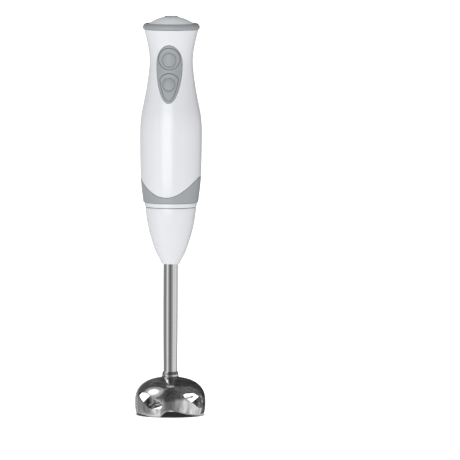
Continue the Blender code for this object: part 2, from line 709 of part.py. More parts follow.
def make_collar():
    top = BODY_FOOT + COLLAR_FRONT_HEIGHT + COLLAR_SIDE_RISE + 2 * MM
    outer = stretch(HANDLE, BODY_FOOT, top, 4)
    loop = outer + offset(outer, -COLLAR_WALL)[::-1]
    collar = turned("collar", loop, "grey")
    edge = collar_edge(0)
    above = [(edge[-1][0], top + CUT_REACH), (edge[0][0], top + CUT_REACH)]
    cut(collar, front_plate("cut_above_collar", [edge + above], -CUT_REACH, CUT_REACH, turn=COLLAR_CLOCKING))


def panel_outline(inset):
    """The control panel's egg shape as (x, z): two half ellipses on one width."""
    half = PANEL_HALF_WIDTH - inset
    outline = []
    for step in range(36):
        angle = 2 * math.pi * step / 36
        length = (PANEL_UPPER_LENGTH if math.sin(angle) > 0 else PANEL_LOWER_LENGTH) - inset
        outline.append((half * math.cos(angle), PANEL_HEIGHT + length * math.sin(angle)))
    return outline


def upper_button_outline(inset):
    centre = (0, NECK_HEIGHT + UPPER_BUTTON_ABOVE_NECK)
    return circle(BUTTON_RADIUS - inset, 28, centre)


def lower_button_outline(inset):
    """A drop shape: the panel's own outline set in, below an arc that matches the upper button."""
    arc_radius = BUTTON_RADIUS
    arc_top = NECK_HEIGHT + LOWER_BUTTON_TOP_ABOVE_NECK - inset
    half = PANEL_HALF_WIDTH - LOWER_BUTTON_MARGIN - inset
    length = PANEL_LOWER_LENGTH - LOWER_BUTTON_MARGIN - inset
    outline = []
    for step in range(29):
        angle = math.pi + math.pi * step / 28
        x = half * math.cos(angle)
        top = arc_top - (arc_radius - math.sqrt(arc_radius**2 - x**2))
        z = PANEL_HEIGHT + length * math.sin(angle)
        if z < top - 0.5 * MM:
            outline.append((x, z))
    edge = max(abs(x) for x, _ in outline)
    for step in range(9):
        x = edge * math.cos(math.pi * step / 8)
        outline.append((x, arc_top - (arc_radius - math.sqrt(arc_radius**2 - x**2))))
    return outline


def neck_band(name, proud, thickness, material):
    """A turned band that follows the handle's outer side over the panel's height."""
    low = PANEL_HEIGHT - PANEL_LOWER_LENGTH - 2 * MM
    high = PANEL_HEIGHT + PANEL_UPPER_LENGTH + 2 * MM
    outer = offset(stretch(HANDLE, low, high, 9), proud)
    return turned(name, outer + offset(outer, -thickness)[::-1], material)


def trim(piece, name, outlines):
    """Keeps only what lies within the outlines, seen from the front."""
    keeper = front_plate(name, outlines, -CUT_REACH, PANEL_CUT_END)
    return boolean(piece, keeper, "INTERSECT")


def make_panel():
    bezel = neck_band("panel_bezel", PANEL_PROUD, PANEL_THICKNESS, "grey")
    trim(bezel, "keep_bezel", [panel_outline(SLIDE_GAP)])
    openings = [upper_button_outline(-SLIDE_GAP)], [lower_button_outline(-SLIDE_GAP)]
    for name, opening in zip(("upper", "lower"), openings):
        cut(bezel, front_plate(f"cut_{name}_opening", opening, -CUT_REACH, PANEL_CUT_END))
    lower = lower_button_outline(0)
    lower_height = (max(z for _, z in lower) + min(z for _, z in lower)) / 2 + 2.5 * MM
    upper_height = NECK_HEIGHT + UPPER_BUTTON_ABOVE_NECK
    make_button("upper", upper_button_outline(0), upper_height)
    make_button("lower", lower, lower_height)


def make_button(name, outline, height):
    """A button with its stem, and behind it the switch, the switch's plunger and the return spring."""
    button = neck_band(f"{name}_button", BUTTON_PROUD, BUTTON_THICKNESS, "grey")
    trim(button, f"keep_{name}_button", [outline])
    back = -(radius_at(HANDLE, height) + BUTTON_PROUD - BUTTON_THICKNESS)
    stem_end = SWITCH_FACE_Y - PLUNGER_SHOWN
    join(button, rod(f"add_{name}_stem", STEM_RADIUS, (0, back - MM, height), (0, stem_end, height)))
    width, depth, tall = SWITCH_SIZE
    switch = box(f"{name}_switch", SWITCH_SIZE, (0, SWITCH_FACE_Y + depth / 2, height), "black")
    plunger_foot = SWITCH_FACE_Y + MM
    hole_end = plunger_foot + BUTTON_TRAVEL + 0.6 * MM
    hole = (PLUNGER_RADIUS + SLIDE_GAP, (0, SWITCH_FACE_Y - MM, height), (0, hole_end, height))
    cut(switch, rod(f"cut_{name}_plunger", *hole))
    plunger = (PLUNGER_RADIUS, (0, stem_end + 0.1 * MM, height), (0, plunger_foot, height))
    rod(f"{name}_switch_plunger", *plunger, "white", 12)
    spring_span = ((0, back + 2.5 * SPRING_WIRE, height), (0, SWITCH_FACE_Y - 1.5 * SPRING_WIRE, height))
    make_spring(f"{name}_button_spring", *spring_span)
    hang_on_axis(button, f"{name}_button_axis", height)


def hang_on_axis(button, name, height):
    """Parents a button to an empty that stands on the axis it is pressed along."""
    axis = bpy.data.objects.new(name, None)
    axis.location = (0, 0, height)
    pieces.objects.link(axis)
    button.parent = axis
    button.matrix_parent_inverse = Matrix.Translation((0, 0, -height))


def make_spring(name, start, end):
    """A coil spring between two points, made of eight straight stretches a turn."""
    start, end = Vector(start), Vector(end)
    turn = (end - start).to_track_quat("Z", "Y")
    count = round(SPRING_TURNS * 8)
    points = []
    for i in range(count + 1):
        angle = 2 * math.pi * i / 8
        along = (end - start).length * i / count
        local = Vector((SPRING_RADIUS * math.cos(angle), SPRING_RADIUS * math.sin(angle), along))
        points.append(start + turn @ local)
    return wire(name, points, SPRING_WIRE, "bright_steel")


def make_housing():
    """Two half shells that meet at the sides. The front one has the panel's opening and two bosses."""
    outer = stretch(HANDLE, BODY_FOOT, CROWN_HEIGHT, 16)
    loop = outer + offset(outer, -HOUSING_WALL)[::-1]
    below = collar_edge(JOINT_GAP)
    below += [(below[-1][0], BODY_FOOT - CUT_REACH), (below[0][0], BODY_FOOT - CUT_REACH)]
    foot_cutter = front_plate("cut_below_housing", [below], -CUT_REACH, CUT_REACH, turn=COLLAR_CLOCKING)
    halves = {}
    for name, side in (("front_housing", -1), ("rear_housing", 1)):
        halves[name] = turned(name, loop, "white")
        half_size = (2 * CUT_REACH, CUT_REACH, 1.2 * (CROWN_HEIGHT - BODY_FOOT))
        half_middle = (0, -side * (CUT_REACH - SEAM_GAP) / 2, (CROWN_HEIGHT + BODY_FOOT) / 2)
        cut(halves[name], box(f"cut_{name}", half_size, half_middle), foot_cutter)
    opening = front_plate("cut_panel_opening", [panel_outline(0)], -CUT_REACH, PANEL_CUT_END)
    cut(halves["front_housing"], opening)
    for name, height in board_screw_heights().items():
        wall = radius_at(INNER, height) + 0.5 * HOUSING_WALL
        boss_span = ((0, -wall, height), (0, board_front() - JOINT_GAP, height))
        join(halves["front_housing"], rod(f"add_{name}_boss", BOSS_RADIUS, *boss_span))
        hole_span = ((0, board_front() - 6 * MM, height), (0, 0, height))
        cut(halves["front_housing"], rod(f"cut_{name}_boss", SCREW_RADIUS + SEAT_GAP, *hole_span))
    for side, x in (("left", -CLAMP_SCREW_X), ("right", CLAMP_SCREW_X)):
        height = CROWN_HEIGHT - CLAMP_BELOW_CROWN
        wall = radius_at(HANDLE, height) - 1.2 * MM
        post_end = math.sqrt(wall**2 - (CLAMP_SCREW_X + BOSS_RADIUS) ** 2)
        post_front = clamp_base_back() + JOINT_GAP
        post_span = ((x, post_end, height), (x, post_front, height))
        join(halves["rear_housing"], rod(f"add_{side}_post", BOSS_RADIUS, *post_span))
        hole_span = ((x, 0, height), (x, post_front + 4 * MM, height))
        cut(halves["rear_housing"], rod(f"cut_{side}_post", SCREW_RADIUS + SEAT_GAP, *hole_span))


def board_front():
    return SWITCH_FACE_Y + SWITCH_SIZE[1] + JOINT_GAP


def board_middle():
    """The board reaches as far below the panel as above it, so that its screws clear the panel."""
    top = PANEL_HEIGHT + PANEL_UPPER_LENGTH
    bottom = PANEL_HEIGHT - PANEL_LOWER_LENGTH
    return (top + bottom) / 2


def board_screw_heights():
    reach = (PANEL_UPPER_LENGTH + PANEL_LOWER_LENGTH) / 2 + BOARD_SCREW_INSET
    return {"board_top": board_middle() + reach, "board_foot": board_middle() - reach}


def make_board():
    heights = board_screw_heights().values()
    length = max(heights) - min(heights) + 2 * BOARD_SCREW_INSET
    front = board_front()
    centre = (0, front + BOARD_THICKNESS / 2, board_middle())
    board = box("switch_board", (BOARD_WIDTH, BOARD_THICKNESS, length), centre, "green")
    head_radius, head_height = SCREW_HEAD
    back = front + BOARD_THICKNESS
    for name, height in board_screw_heights().items():
        hole_span = ((0, front - MM, height), (0, back + MM, height))
        cut(board, rod(f"cut_{name}_screw", SCREW_RADIUS + SEAT_GAP, *hole_span))
        screw_span = ((0, front - 5 * MM, height), (0, back + 0.6 * MM, height))
        screw = rod(f"{name}_screw", SCREW_RADIUS, *screw_span, "bright_steel", 12)
        head_foot = back + 0.2 * MM
        head_span = ((0, head_foot, height), (0, head_foot + head_height, height))
        join(screw, rod(f"add_{name}_head", head_radius, *head_span, facets=12))


def clamp_base_back():
    return CLAMPED_CORD_Y + 2 * JOINT_GAP + CLAMP_BASE_DEPTH


def make_clamp():
    """The bar and base that grip the mains cord inside the handle, with their two screws."""
    height = CROWN_HEIGHT - CLAMP_BELOW_CROWN
    width, thickness, tall = CLAMP_BAR
    bar_back = CLAMPED_CORD_Y - CLAMPED_CORD_RADIUS
    bar_front = bar_back - thickness
    bar = box("cord_clamp_bar", CLAMP_BAR, (0, bar_back - thickness / 2, height), "black")
    base_size = (width, CLAMP_BASE_DEPTH, tall)
    base_back = clamp_base_back()
    base = box("cord_clamp_base", base_size, (0, base_back - CLAMP_BASE_DEPTH / 2, height), "black")
    seat = ((0, CLAMPED_CORD_Y, height - tall), (0, CLAMPED_CORD_Y, height + tall))
    cut(base, rod("cut_cord_seat", GLAND_BORE, *seat))
    head_radius, head_height = SCREW_HEAD
    for side, x in (("left", -CLAMP_SCREW_X), ("right", CLAMP_SCREW_X)):
        hole_span = ((x, bar_front - MM, height), (x, base_back + MM, height))
        hole = rod(f"cut_{side}_clamp_hole", SCREW_RADIUS + SEAT_GAP, *hole_span)
        cut(bar, hole)
        cut(base, hole)
        screw_span = ((x, bar_front - 0.6 * MM, height), (x, base_back + 3.5 * MM, height))
        screw = rod(f"clamp_screw_{side}", SCREW_RADIUS, *screw_span, "bright_steel", 12)
        head_span = ((x, bar_front - 0.2 * MM - head_height, height), (x, bar_front - 0.2 * MM, height))
        join(screw, rod(f"add_{side}_clamp_head", head_radius, *head_span, facets=12))


def dome_line(radius, top, height, inner_radius, steps):
    """An arc of a sphere as (radius, height) points, from inner_radius out to radius."""
    ball = (radius**2 + height**2) / (2 * height)
    points = []
    for step in range(steps + 1):
        r = inner_radius + (radius - inner_radius) * step / steps
        points.append((r, top - (ball - math.sqrt(ball**2 - r**2))))
    return points


def make_cap():
    """The domed cap with its rim, and the rubber gland in its middle where the cord leaves."""
    hole = GLAND_BORE + GLAND_WALL + SEAT_GAP
    dome = dome_line(CAP_DOME_RADIUS, DOME_TOP, CAP_DOME_HEIGHT, hole, 5)
    rim = [
        (CAP_DOME_RADIUS + 0.7 * MM, DOME_FOOT - 0.6 * MM),
        (CAP_DOME_RADIUS + 1.4 * MM, CAP_CREST - 0.4 * MM),
        (CAP_RIM_RADIUS - 2.4 * MM, CAP_CREST),
        (CAP_RIM_RADIUS - 0.6 * MM, CAP_FOOT + 0.62 * CAP_RIM_HEIGHT),
        (CAP_RIM_RADIUS, CAP_FOOT + 0.3 * CAP_RIM_HEIGHT),
        (CAP_RIM_RADIUS - 0.3 * MM, CAP_FOOT),
    ]
    skirt_foot = CAP_FOOT - CAP_SKIRT_DEPTH
    skirt_radius = min(radius_at(INNER, skirt_foot), radius_at(INNER, CROWN_HEIGHT)) - JOINT_GAP
    skirt_inner = skirt_radius - CAP_WALL
    skirt = [
        (skirt_radius, CAP_FOOT),
        (skirt_radius, skirt_foot),
        (skirt_inner, skirt_foot),
        (skirt_inner, CAP_FOOT + 0.4 * CAP_RIM_HEIGHT),
    ]
    under = dome_line(skirt_inner - MM, DOME_TOP - CAP_WALL, CAP_DOME_HEIGHT - 2.5 * MM, hole, 3)
    turned("cap", dome + rim + skirt + under[::-1], "grey")
    lip_reach, lip_height = GLAND_LIP
    neck = GLAND_BORE + GLAND_WALL
    lip_foot = dome[0][1] + SEAT_GAP
    flange_top = under[0][1] - SEAT_GAP
    gland = [
        (GLAND_BORE, lip_foot + lip_height),
        (neck + 0.6 * lip_reach, lip_foot + lip_height),
        (neck + lip_reach, lip_foot + 0.4 * lip_height),
        (neck + lip_reach, lip_foot),
        (neck, lip_foot),
        (neck, flange_top),
        (neck + lip_reach, flange_top - 0.4 * MM),
        (neck + lip_reach, flange_top - 1.6 * MM),
        (GLAND_BORE, flange_top - 1.6 * MM),
    ]
    turned("cord_gland", gland, "rubber", COARSE)


def make_stator():
    """Laminated field stack, with a slot for each side of the two field coils."""
    slot = 2 * COIL_RADIUS + 0.8 * MM
    holes = [circle(STATOR_BORE, MEDIUM)]
    for x in (-COIL_X, COIL_X):
        for y in (-COIL_Y, COIL_Y):
            holes.append(rectangle(slot, slot, (x, y)))
    for y in (-MOTOR_SCREW_Y, MOTOR_SCREW_Y):
        holes.append(circle(MOTOR_SCREW_RADIUS + JOINT_GAP, 12, (0, y)))
    middle = (0, 0, (STACK_FOOT + STACK_TOP) / 2)
    plate("stator_core", [circle(STATOR_RADIUS, FINE)] + holes, STACK_HEIGHT, "laminated_iron", middle)
    for side, y in (("front", -COIL_Y), ("rear", COIL_Y)):
        low, high = STACK_FOOT - COIL_OVERHANG, STACK_TOP + COIL_OVERHANG
        loop = [(-COIL_X, low), (COIL_X, low), (COIL_X, high), (-COIL_X, high)]
        path = rounded([Vector(p) for p in loop], 2.4 * MM, 3)
        wire(f"field_coil_{side}", [(x, y, z) for x, z in path], COIL_RADIUS, "copper", closed=True)


def notched_circle(radius, root, count, share):
    """A round outline with count slots, each open over a share of its pitch."""
    outline = []
    for i in range(count):
        start = 2 * math.pi * i / count
        tooth = 2 * math.pi * (1 - share) / count
        for angle, r in ((0, root), (0, radius), (tooth / 2, radius), (tooth, radius), (tooth, root)):
            outline.append((r * math.cos(start + angle), r * math.sin(start + angle)))
    return outline


def make_rotor():
    """All that turns in the motor: shaft, laminated core, windings, commutator, fan and drive dog."""
    dog_top = RING_TOP - 0.5 * MM
    dog_foot = dog_top - DOG_HEIGHT
    shaft_foot = dog_foot + DOG_SOCKET + 0.5 * MM
    shaft_top = commutator_foot() + COMMUTATOR_HEIGHT + BRACKET_THICKNESS + 6.0 * MM
    rod("armature_shaft", SHAFT_RADIUS, (0, 0, shaft_foot), (0, 0, shaft_top), "bright_steel")
    bore = circle(SHAFT_RADIUS + SEAT_GAP, COARSE)
    middle = (0, 0, (STACK_FOOT + STACK_TOP) / 2)
    core = notched_circle(STATOR_BORE - AIR_GAP, 8.0 * MM, ARMATURE_SLOTS, 0.25)
    plate("armature_core", [core, bore], STACK_HEIGHT, "laminated_iron", middle)
    for name, foot, top in (
        ("lower_end_winding", STACK_FOOT - JOINT_GAP - WINDING_HEIGHT, STACK_FOOT - JOINT_GAP),
        ("upper_end_winding", STACK_TOP + JOINT_GAP, STACK_TOP + JOINT_GAP + WINDING_HEIGHT),
    ):
        inner = SHAFT_RADIUS + SEAT_GAP
        belly = foot + (top - foot) / 2
        shoulder = 0.85 * WINDING_RADIUS
        loop = [(inner, foot), (shoulder, foot), (WINDING_RADIUS, belly), (shoulder, top), (inner, top)]
        turned(name, loop, "copper", MEDIUM)
    bars = notched_circle(COMMUTATOR_RADIUS, COMMUTATOR_RADIUS - 0.7 * MM, COMMUTATOR_BARS, 0.12)
    bars_middle = (0, 0, commutator_foot() + COMMUTATOR_HEIGHT / 2)
    plate("commutator", [bars, bore], COMMUTATOR_HEIGHT, "copper", bars_middle)
    make_fan()
    dog = ring("drive_dog", SHAFT_RADIUS + SEAT_GAP, DOG_RADIUS, dog_foot, dog_top, "black")
    socket_middle = (0, 0, dog_foot + DOG_SOCKET / 2 - MM)
    socket = [circle(HEX_RADIUS + HEX_GAP, 6)]
    cut(dog, plate("cut_dog_socket", socket, DOG_SOCKET + 2 * MM, None, socket_middle))


def commutator_foot():
    return STACK_TOP + JOINT_GAP + WINDING_HEIGHT + 2.0 * MM


def fan_foot():
    return STACK_FOOT - JOINT_GAP - WINDING_HEIGHT - JOINT_GAP - FAN_HEIGHT - 0.3 * MM


def make_fan():
    """A back plate with straight vanes, below the armature."""
    foot = fan_foot()
    bore = SHAFT_RADIUS + SEAT_GAP
    top = foot + FAN_HEIGHT
    fan = ring("cooling_fan", bore, FAN_RADIUS, top - 1.2 * MM, top, "black")
    join(fan, ring("add_fan_hub", bore, 5.0 * MM, foot, top - 0.6 * MM))
    for i in range(FAN_VANES):
        angle = 2 * math.pi * i / FAN_VANES
        reach = (FAN_RADIUS - 0.3 * MM + 4.5 * MM) / 2
        centre = (reach * math.cos(angle), reach * math.sin(angle), foot + FAN_HEIGHT / 2 - 0.3 * MM)
        size = (FAN_RADIUS - 0.3 * MM - 4.5 * MM, 1.0 * MM, FAN_HEIGHT - 0.6 * MM)
        join(fan, box(f"add_vane_{i}", size, centre, turn=(0, 0, angle)))


def make_brackets():
    """The end plates that carry the motor's bushes, their screws, and the rubber mounting ring."""
    lower_foot = fan_foot() - BRACKET_THICKNESS - 2.2 * MM
    upper_foot = commutator_foot() + COMMUTATOR_HEIGHT + 3.0 * MM
    bush_seat = MOTOR_BUSH_RADIUS + SEAT_GAP
    for name, foot in (("lower", lower_foot), ("upper", upper_foot)):
        top = foot + BRACKET_THICKNESS
        plate_radius = min(STATOR_RADIUS, radius_at(INNER, foot) - MOTOR_AIR_GAP)
        loop = [
            (bush_seat, foot - 1.4 * MM),
            (BRACKET_HUB_RADIUS, foot - 1.4 * MM),
            (BRACKET_HUB_RADIUS, foot),
            (plate_radius, foot),
            (plate_radius, top),
            (BRACKET_HUB_RADIUS, top),
            (BRACKET_HUB_RADIUS, top + 1.4 * MM),
            (bush_seat, top + 1.4 * MM),
        ]
        bracket = turned(f"{name}_bracket", loop, "nylon", MEDIUM)
        for side, y in (("front", -MOTOR_SCREW_Y), ("rear", MOTOR_SCREW_Y)):
            hole = (MOTOR_SCREW_RADIUS + JOINT_GAP, (0, y, foot - MM), (0, y, top + MM))
            cut(bracket, rod(f"cut_{name}_{side}_hole", *hole, facets=14))
        bush = (SHAFT_RADIUS + RUN_GAP, MOTOR_BUSH_RADIUS, foot - 1.4 * MM, top + 1.4 * MM)
        ring(f"{name}_motor_bush", *bush, "bronze", COARSE)
    for side, y in (("front", -MOTOR_SCREW_Y), ("rear", MOTOR_SCREW_Y)):
        head_foot = upper_foot + BRACKET_THICKNESS + 0.2 * MM
        screw_span = ((0, y, lower_foot), (0, y, head_foot + MM))
        screw = rod(f"motor_screw_{side}", MOTOR_SCREW_RADIUS, *screw_span, "bright_steel", 12)
        head_span = ((0, y, head_foot), (0, y, head_foot + 1.8 * MM))
        join(screw, rod(f"add_motor_{side}_head", 1.6 * MOTOR_SCREW_RADIUS, *head_span, facets=12))
    mount_outer = radius_at(INNER, lower_foot) - JOINT_GAP
    mount_inner = min(STATOR_RADIUS, radius_at(INNER, lower_foot) - MOTOR_AIR_GAP) + SEAT_GAP
    ring("motor_mount_ring", mount_inner, mount_outer, lower_foot, lower_foot + MOUNT_RING_HEIGHT, "rubber")
    make_brushes(upper_foot)


def make_brushes(bracket_foot):
    """On each side of the commutator, a brass box with its carbon brush."""
    length, width, tall = BRUSH_BOX
    brush_length, brush_width, brush_tall = BRUSH_SIZE
    height = commutator_foot() + COMMUTATOR_HEIGHT / 2
    for side, sign in (("left", -1), ("right", 1)):
        middle = sign * (BRUSH_BOX_INNER_X + length / 2)
        holder = box(f"brush_box_{side}", BRUSH_BOX, (middle, 0, height), "brass")
        hollow = (length + 2 * MM, brush_width + 0.6 * MM, brush_tall + 0.6 * MM)
        cut(holder, box(f"cut_{side}_brush_box", hollow, (middle - sign * 1.6 * MM, 0, height)))
        brush_inner = COMMUTATOR_RADIUS + JOINT_GAP
        brush_middle = sign * (brush_inner + brush_length / 2)
        box(f"carbon_brush_{side}", BRUSH_SIZE, (brush_middle, 0, height), "carbon")
        leg_foot = height + tall / 2 + JOINT_GAP
        leg_size = (6.0 * MM, 6.0 * MM, bracket_foot + MM - leg_foot)
        leg = box(f"add_{side}_bracket_leg", leg_size, (middle, 0, leg_foot + leg_size[2] / 2))
        join(bpy.data.objects["upper_bracket"], leg)


def make_leads():
    """The two supply leads, from the cord clamp down to the board."""
    back = board_front() + BOARD_THICKNESS + LEAD_RADIUS + 0.2 * MM
    clamp_foot = CROWN_HEIGHT - CLAMP_BELOW_CROWN - CLAMP_BAR[2] / 2 - JOINT_GAP
    for name, side, material in (("live", 1, "brown"), ("neutral", -1, "blue")):
        supply = [
            (side * 1.4 * MM, CLAMPED_CORD_Y, clamp_foot),
            (side * 2.4 * MM, CLAMPED_CORD_Y + MM, clamp_foot - 5 * MM),
            (side * 3.2 * MM, CLAMPED_CORD_Y - 2 * MM, clamp_foot - 11 * MM),
            (side * 3.2 * MM, back, clamp_foot - 17 * MM),
        ]
        wire(f"{name}_supply_lead", smooth_line(supply, 3), LEAD_RADIUS, material)


for old in list(bpy.data.objects):
    bpy.data.objects.remove(old)
pieces = bpy.data.collections.new("immersion_blender")
cutters = bpy.data.collections.new("cutters")
for group in (pieces, cutters):
    bpy.context.scene.collection.children.link(group)

materials = {
    name: new_material(name, *finish)
    for name, finish in {
        "white": ((0.83, 0.83, 0.85), 0.28),
        "grey": ((0.33, 0.35, 0.36), 0.42),
        "steel": ((0.62, 0.62, 0.63), 0.18, 1.0),
        "bright_steel": ((0.7, 0.7, 0.72), 0.3, 1.0),
        "laminated_iron": ((0.2, 0.2, 0.21), 0.5, 1.0),
        "copper": ((0.6, 0.25, 0.12), 0.35, 1.0),
        "brass": ((0.65, 0.5, 0.22), 0.35, 1.0),
        "bronze": ((0.45, 0.3, 0.16), 0.45, 1.0),
        "carbon": ((0.03, 0.03, 0.03), 0.6),
        "rubber": ((0.2, 0.21, 0.22), 0.7),
        "black": ((0.03, 0.03, 0.035), 0.45),
        "acetal": ((0.8, 0.8, 0.76), 0.35),
        "nylon": ((0.1, 0.1, 0.11), 0.5),
        "green": ((0.03, 0.2, 0.08), 0.4),
        "brown": ((0.2, 0.08, 0.03), 0.5),
        "blue": ((0.05, 0.15, 0.5), 0.5),
    }.items()
}

make_bell()
make_blade()
make_drive_shaft()
make_tube()
make_cone()
make_leg_bearing()
make_lock_ring()
make_collar()
make_panel()
make_housing()
make_board()
make_clamp()
make_cap()
make_stator()
make_rotor()
make_brackets()
make_leads()
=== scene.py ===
# %% [markdown]
# # Dressing a measured immersion blender
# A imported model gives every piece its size, place and motion. This lesson gives the pieces that show
# their fine surface, and every piece a finish. The model could be shaded as it is, but its facets
# would show in the highlights, so the pieces that light falls on are made again, finer, on the same sizes.

# %% Load the frame
import json
import math

import bmesh
import bpy
from mathutils import Matrix, Vector


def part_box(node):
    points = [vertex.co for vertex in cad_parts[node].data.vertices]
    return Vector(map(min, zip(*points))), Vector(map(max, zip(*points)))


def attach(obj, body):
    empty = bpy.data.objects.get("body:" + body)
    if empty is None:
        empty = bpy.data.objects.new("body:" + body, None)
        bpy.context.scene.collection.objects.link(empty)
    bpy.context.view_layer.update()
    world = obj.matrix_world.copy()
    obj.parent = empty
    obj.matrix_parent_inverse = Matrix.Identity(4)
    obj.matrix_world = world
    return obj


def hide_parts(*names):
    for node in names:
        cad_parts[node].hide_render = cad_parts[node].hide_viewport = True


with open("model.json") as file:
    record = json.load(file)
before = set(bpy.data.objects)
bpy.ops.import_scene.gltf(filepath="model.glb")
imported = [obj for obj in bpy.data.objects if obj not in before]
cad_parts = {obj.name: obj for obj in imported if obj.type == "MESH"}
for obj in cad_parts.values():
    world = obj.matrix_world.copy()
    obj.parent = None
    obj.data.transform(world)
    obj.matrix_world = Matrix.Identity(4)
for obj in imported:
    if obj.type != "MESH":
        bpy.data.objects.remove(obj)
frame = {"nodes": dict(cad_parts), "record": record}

MM = 0.001
FRONT = -math.pi / 2  # the turn about Z, from +X, at which the buttons stand

for name in ("Cube", "Light", "Camera"):  # what a new Blender file starts with
    if name in bpy.data.objects:
        bpy.data.objects.remove(bpy.data.objects[name])

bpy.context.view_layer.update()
nodes = frame["nodes"]

# %% [markdown]
# ## Camera
# A long lens a few metres back flattens the view as a product shot does. A short lens close by could
# frame the same height, but it would look up under the cap and down on the bell. The camera stands a
# little above the top of the blender and a little to the right of its buttons.

# %% Place the camera
VIEW_WIDTH = 403.88 * MM  # what the picture spans at the blender
SENSOR_MM = 36
DISTANCE = 8.0
CAMERA_TURN = math.radians(5)
CAMERA_HEIGHT = 0.77
CAMERA_ROLL = math.radians(0.2)
OBJECT_LEFT_OF_MIDDLE = 52.065 * MM
AIM_ABOVE_BASE = 162.957 * MM

across = Vector((math.cos(CAMERA_TURN), math.sin(CAMERA_TURN), 0))
away = Vector((-math.sin(CAMERA_TURN), math.cos(CAMERA_TURN), 0))
eye = across * OBJECT_LEFT_OF_MIDDLE - away * DISTANCE + Vector((0, 0, CAMERA_HEIGHT))
aim = across * OBJECT_LEFT_OF_MIDDLE + Vector((0, 0, AIM_ABOVE_BASE))

camera_data = bpy.data.cameras.new("camera")
camera = bpy.data.objects.new("camera", camera_data)
bpy.context.scene.collection.objects.link(camera)
bpy.context.scene.camera = camera
camera.location = eye
camera.rotation_euler = (aim - eye).to_track_quat("-Z", "Y").to_euler()
camera.rotation_euler.rotate_axis("Z", CAMERA_ROLL)
camera_data.sensor_width = SENSOR_MM
camera_data.lens = SENSOR_MM * (aim - eye).length / VIEW_WIDTH
camera_data.clip_end = 100
print("lens", round(camera_data.lens), "mm")

# %% [markdown]
# ## Reading outlines from the frame
# Most of the blender is turned: each piece is a line swept round one axis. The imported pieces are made
# of rings of points, so the widest point at each ring's height gives that line back. The line could
# be typed in again, but then it would drift from the model whenever a size changed.

# %% Measure the turned outlines
RING_STEP = 0.05 * MM  # points whose heights differ by less are on one ring
RING_POINTS = 5


def rings_of(*names):
    """The outer line of some turned pieces as (radius, height) points, listed upwards."""
    heights = {}
    for name in names:
        for vertex in nodes[name].data.vertices:
            radius = math.hypot(vertex.co.x, vertex.co.y)
            turn = round(math.atan2(vertex.co.y, vertex.co.x), 2)
            heights.setdefault(round(vertex.co.z / RING_STEP), []).append((radius, vertex.co.z, turn))
    line = []
    for _, found in sorted(heights.items()):
        widest = max(radius for radius, _, _ in found)
        ring = [(z, turn) for radius, z, turn in found if radius > widest - RING_STEP]
        if len({turn for _, turn in ring}) >= RING_POINTS:
            line.append((widest, sum(z for z, _ in ring) / len(ring)))
    return line


def smooth_line(points, per_span):
    """The points, joined by a Catmull-Rom curve with per_span steps between each two."""
    line = [Vector(p) for p in points]
    padded = [2 * line[0] - line[1]] + line + [2 * line[-1] - line[-2]]
    made = []
    for before, start, end, after in zip(padded, padded[1:], padded[2:], padded[3:]):
        for step in range(per_span):
            t = step / per_span
            square = (2 * before - 5 * start + 4 * end - after) * t**2
            cube = (3 * start - before - 3 * end + after) * t**3
            made.append(0.5 * (2 * start + (end - before) * t + square + cube))
    return [tuple(p) for p in made + [line[-1]]]


def radius_at(line, height):
    """The radius of an upward line of (radius, height) points at that height."""
    for (low_r, low_z), (high_r, high_z) in zip(line, line[1:]):
        if height <= high_z:
            break
    share = min(max((height - low_z) / (high_z - low_z), 0), 1)
    return low_r + (high_r - low_r) * share


HANDLE_STEPS = 8
handle_line = smooth_line(rings_of("collar", "front_housing", "rear_housing"), HANDLE_STEPS)
body_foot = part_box("collar")[0].z
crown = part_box("rear_housing")[1].z
grip_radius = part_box("rear_housing")[1].x


def handle_radius(height):
    return radius_at(handle_line, height)


print("handle from", round(body_foot, 4), "to", round(crown, 4), "m, in", len(handle_line), "points")
print("grip radius", round(grip_radius / MM, 2), "mm")

# %% [markdown]
# ## Building blocks
# Every piece is built from points that code places: a closed line turned round the axis, a shell whose
# edges may rise and fall on the way round, or a pad that lies on the handle. Modelling by hand would do
# too, but code keeps each piece on the frame's sizes. Cuts are Booleans, applied at once, so that each
# piece holds the finished mesh.

# %% Turn, wrap and carve
SLIVER = 0.001 * MM  # edges shorter than this are left-overs of a cut
SMOOTH_BELOW = math.radians(38)  # faces that meet at less than this are shaded as one surface


def bridge(bm, sections, closed):
    """Quads between each section of points and the next."""
    made = [[bm.verts.new(point) for point in section] for section in sections]
    pairs = list(zip(made, made[1:])) + ([(made[-1], made[0])] if closed else [])
    for here, there in pairs:
        for j in range(len(here)):
            k = (j + 1) % len(here)
            bm.faces.new((here[j], here[k], there[k], there[j]))
    return made


def turned(loop, steps=160):
    """A closed line of (radius, height) points, turned once round Z."""
    bm = bmesh.new()
    sections = []
    for i in range(steps):
        turn = 2 * math.pi * i / steps
        sections.append([(r * math.cos(turn), r * math.sin(turn), z) for r, z in loop])
    bridge(bm, sections, True)
    return bm


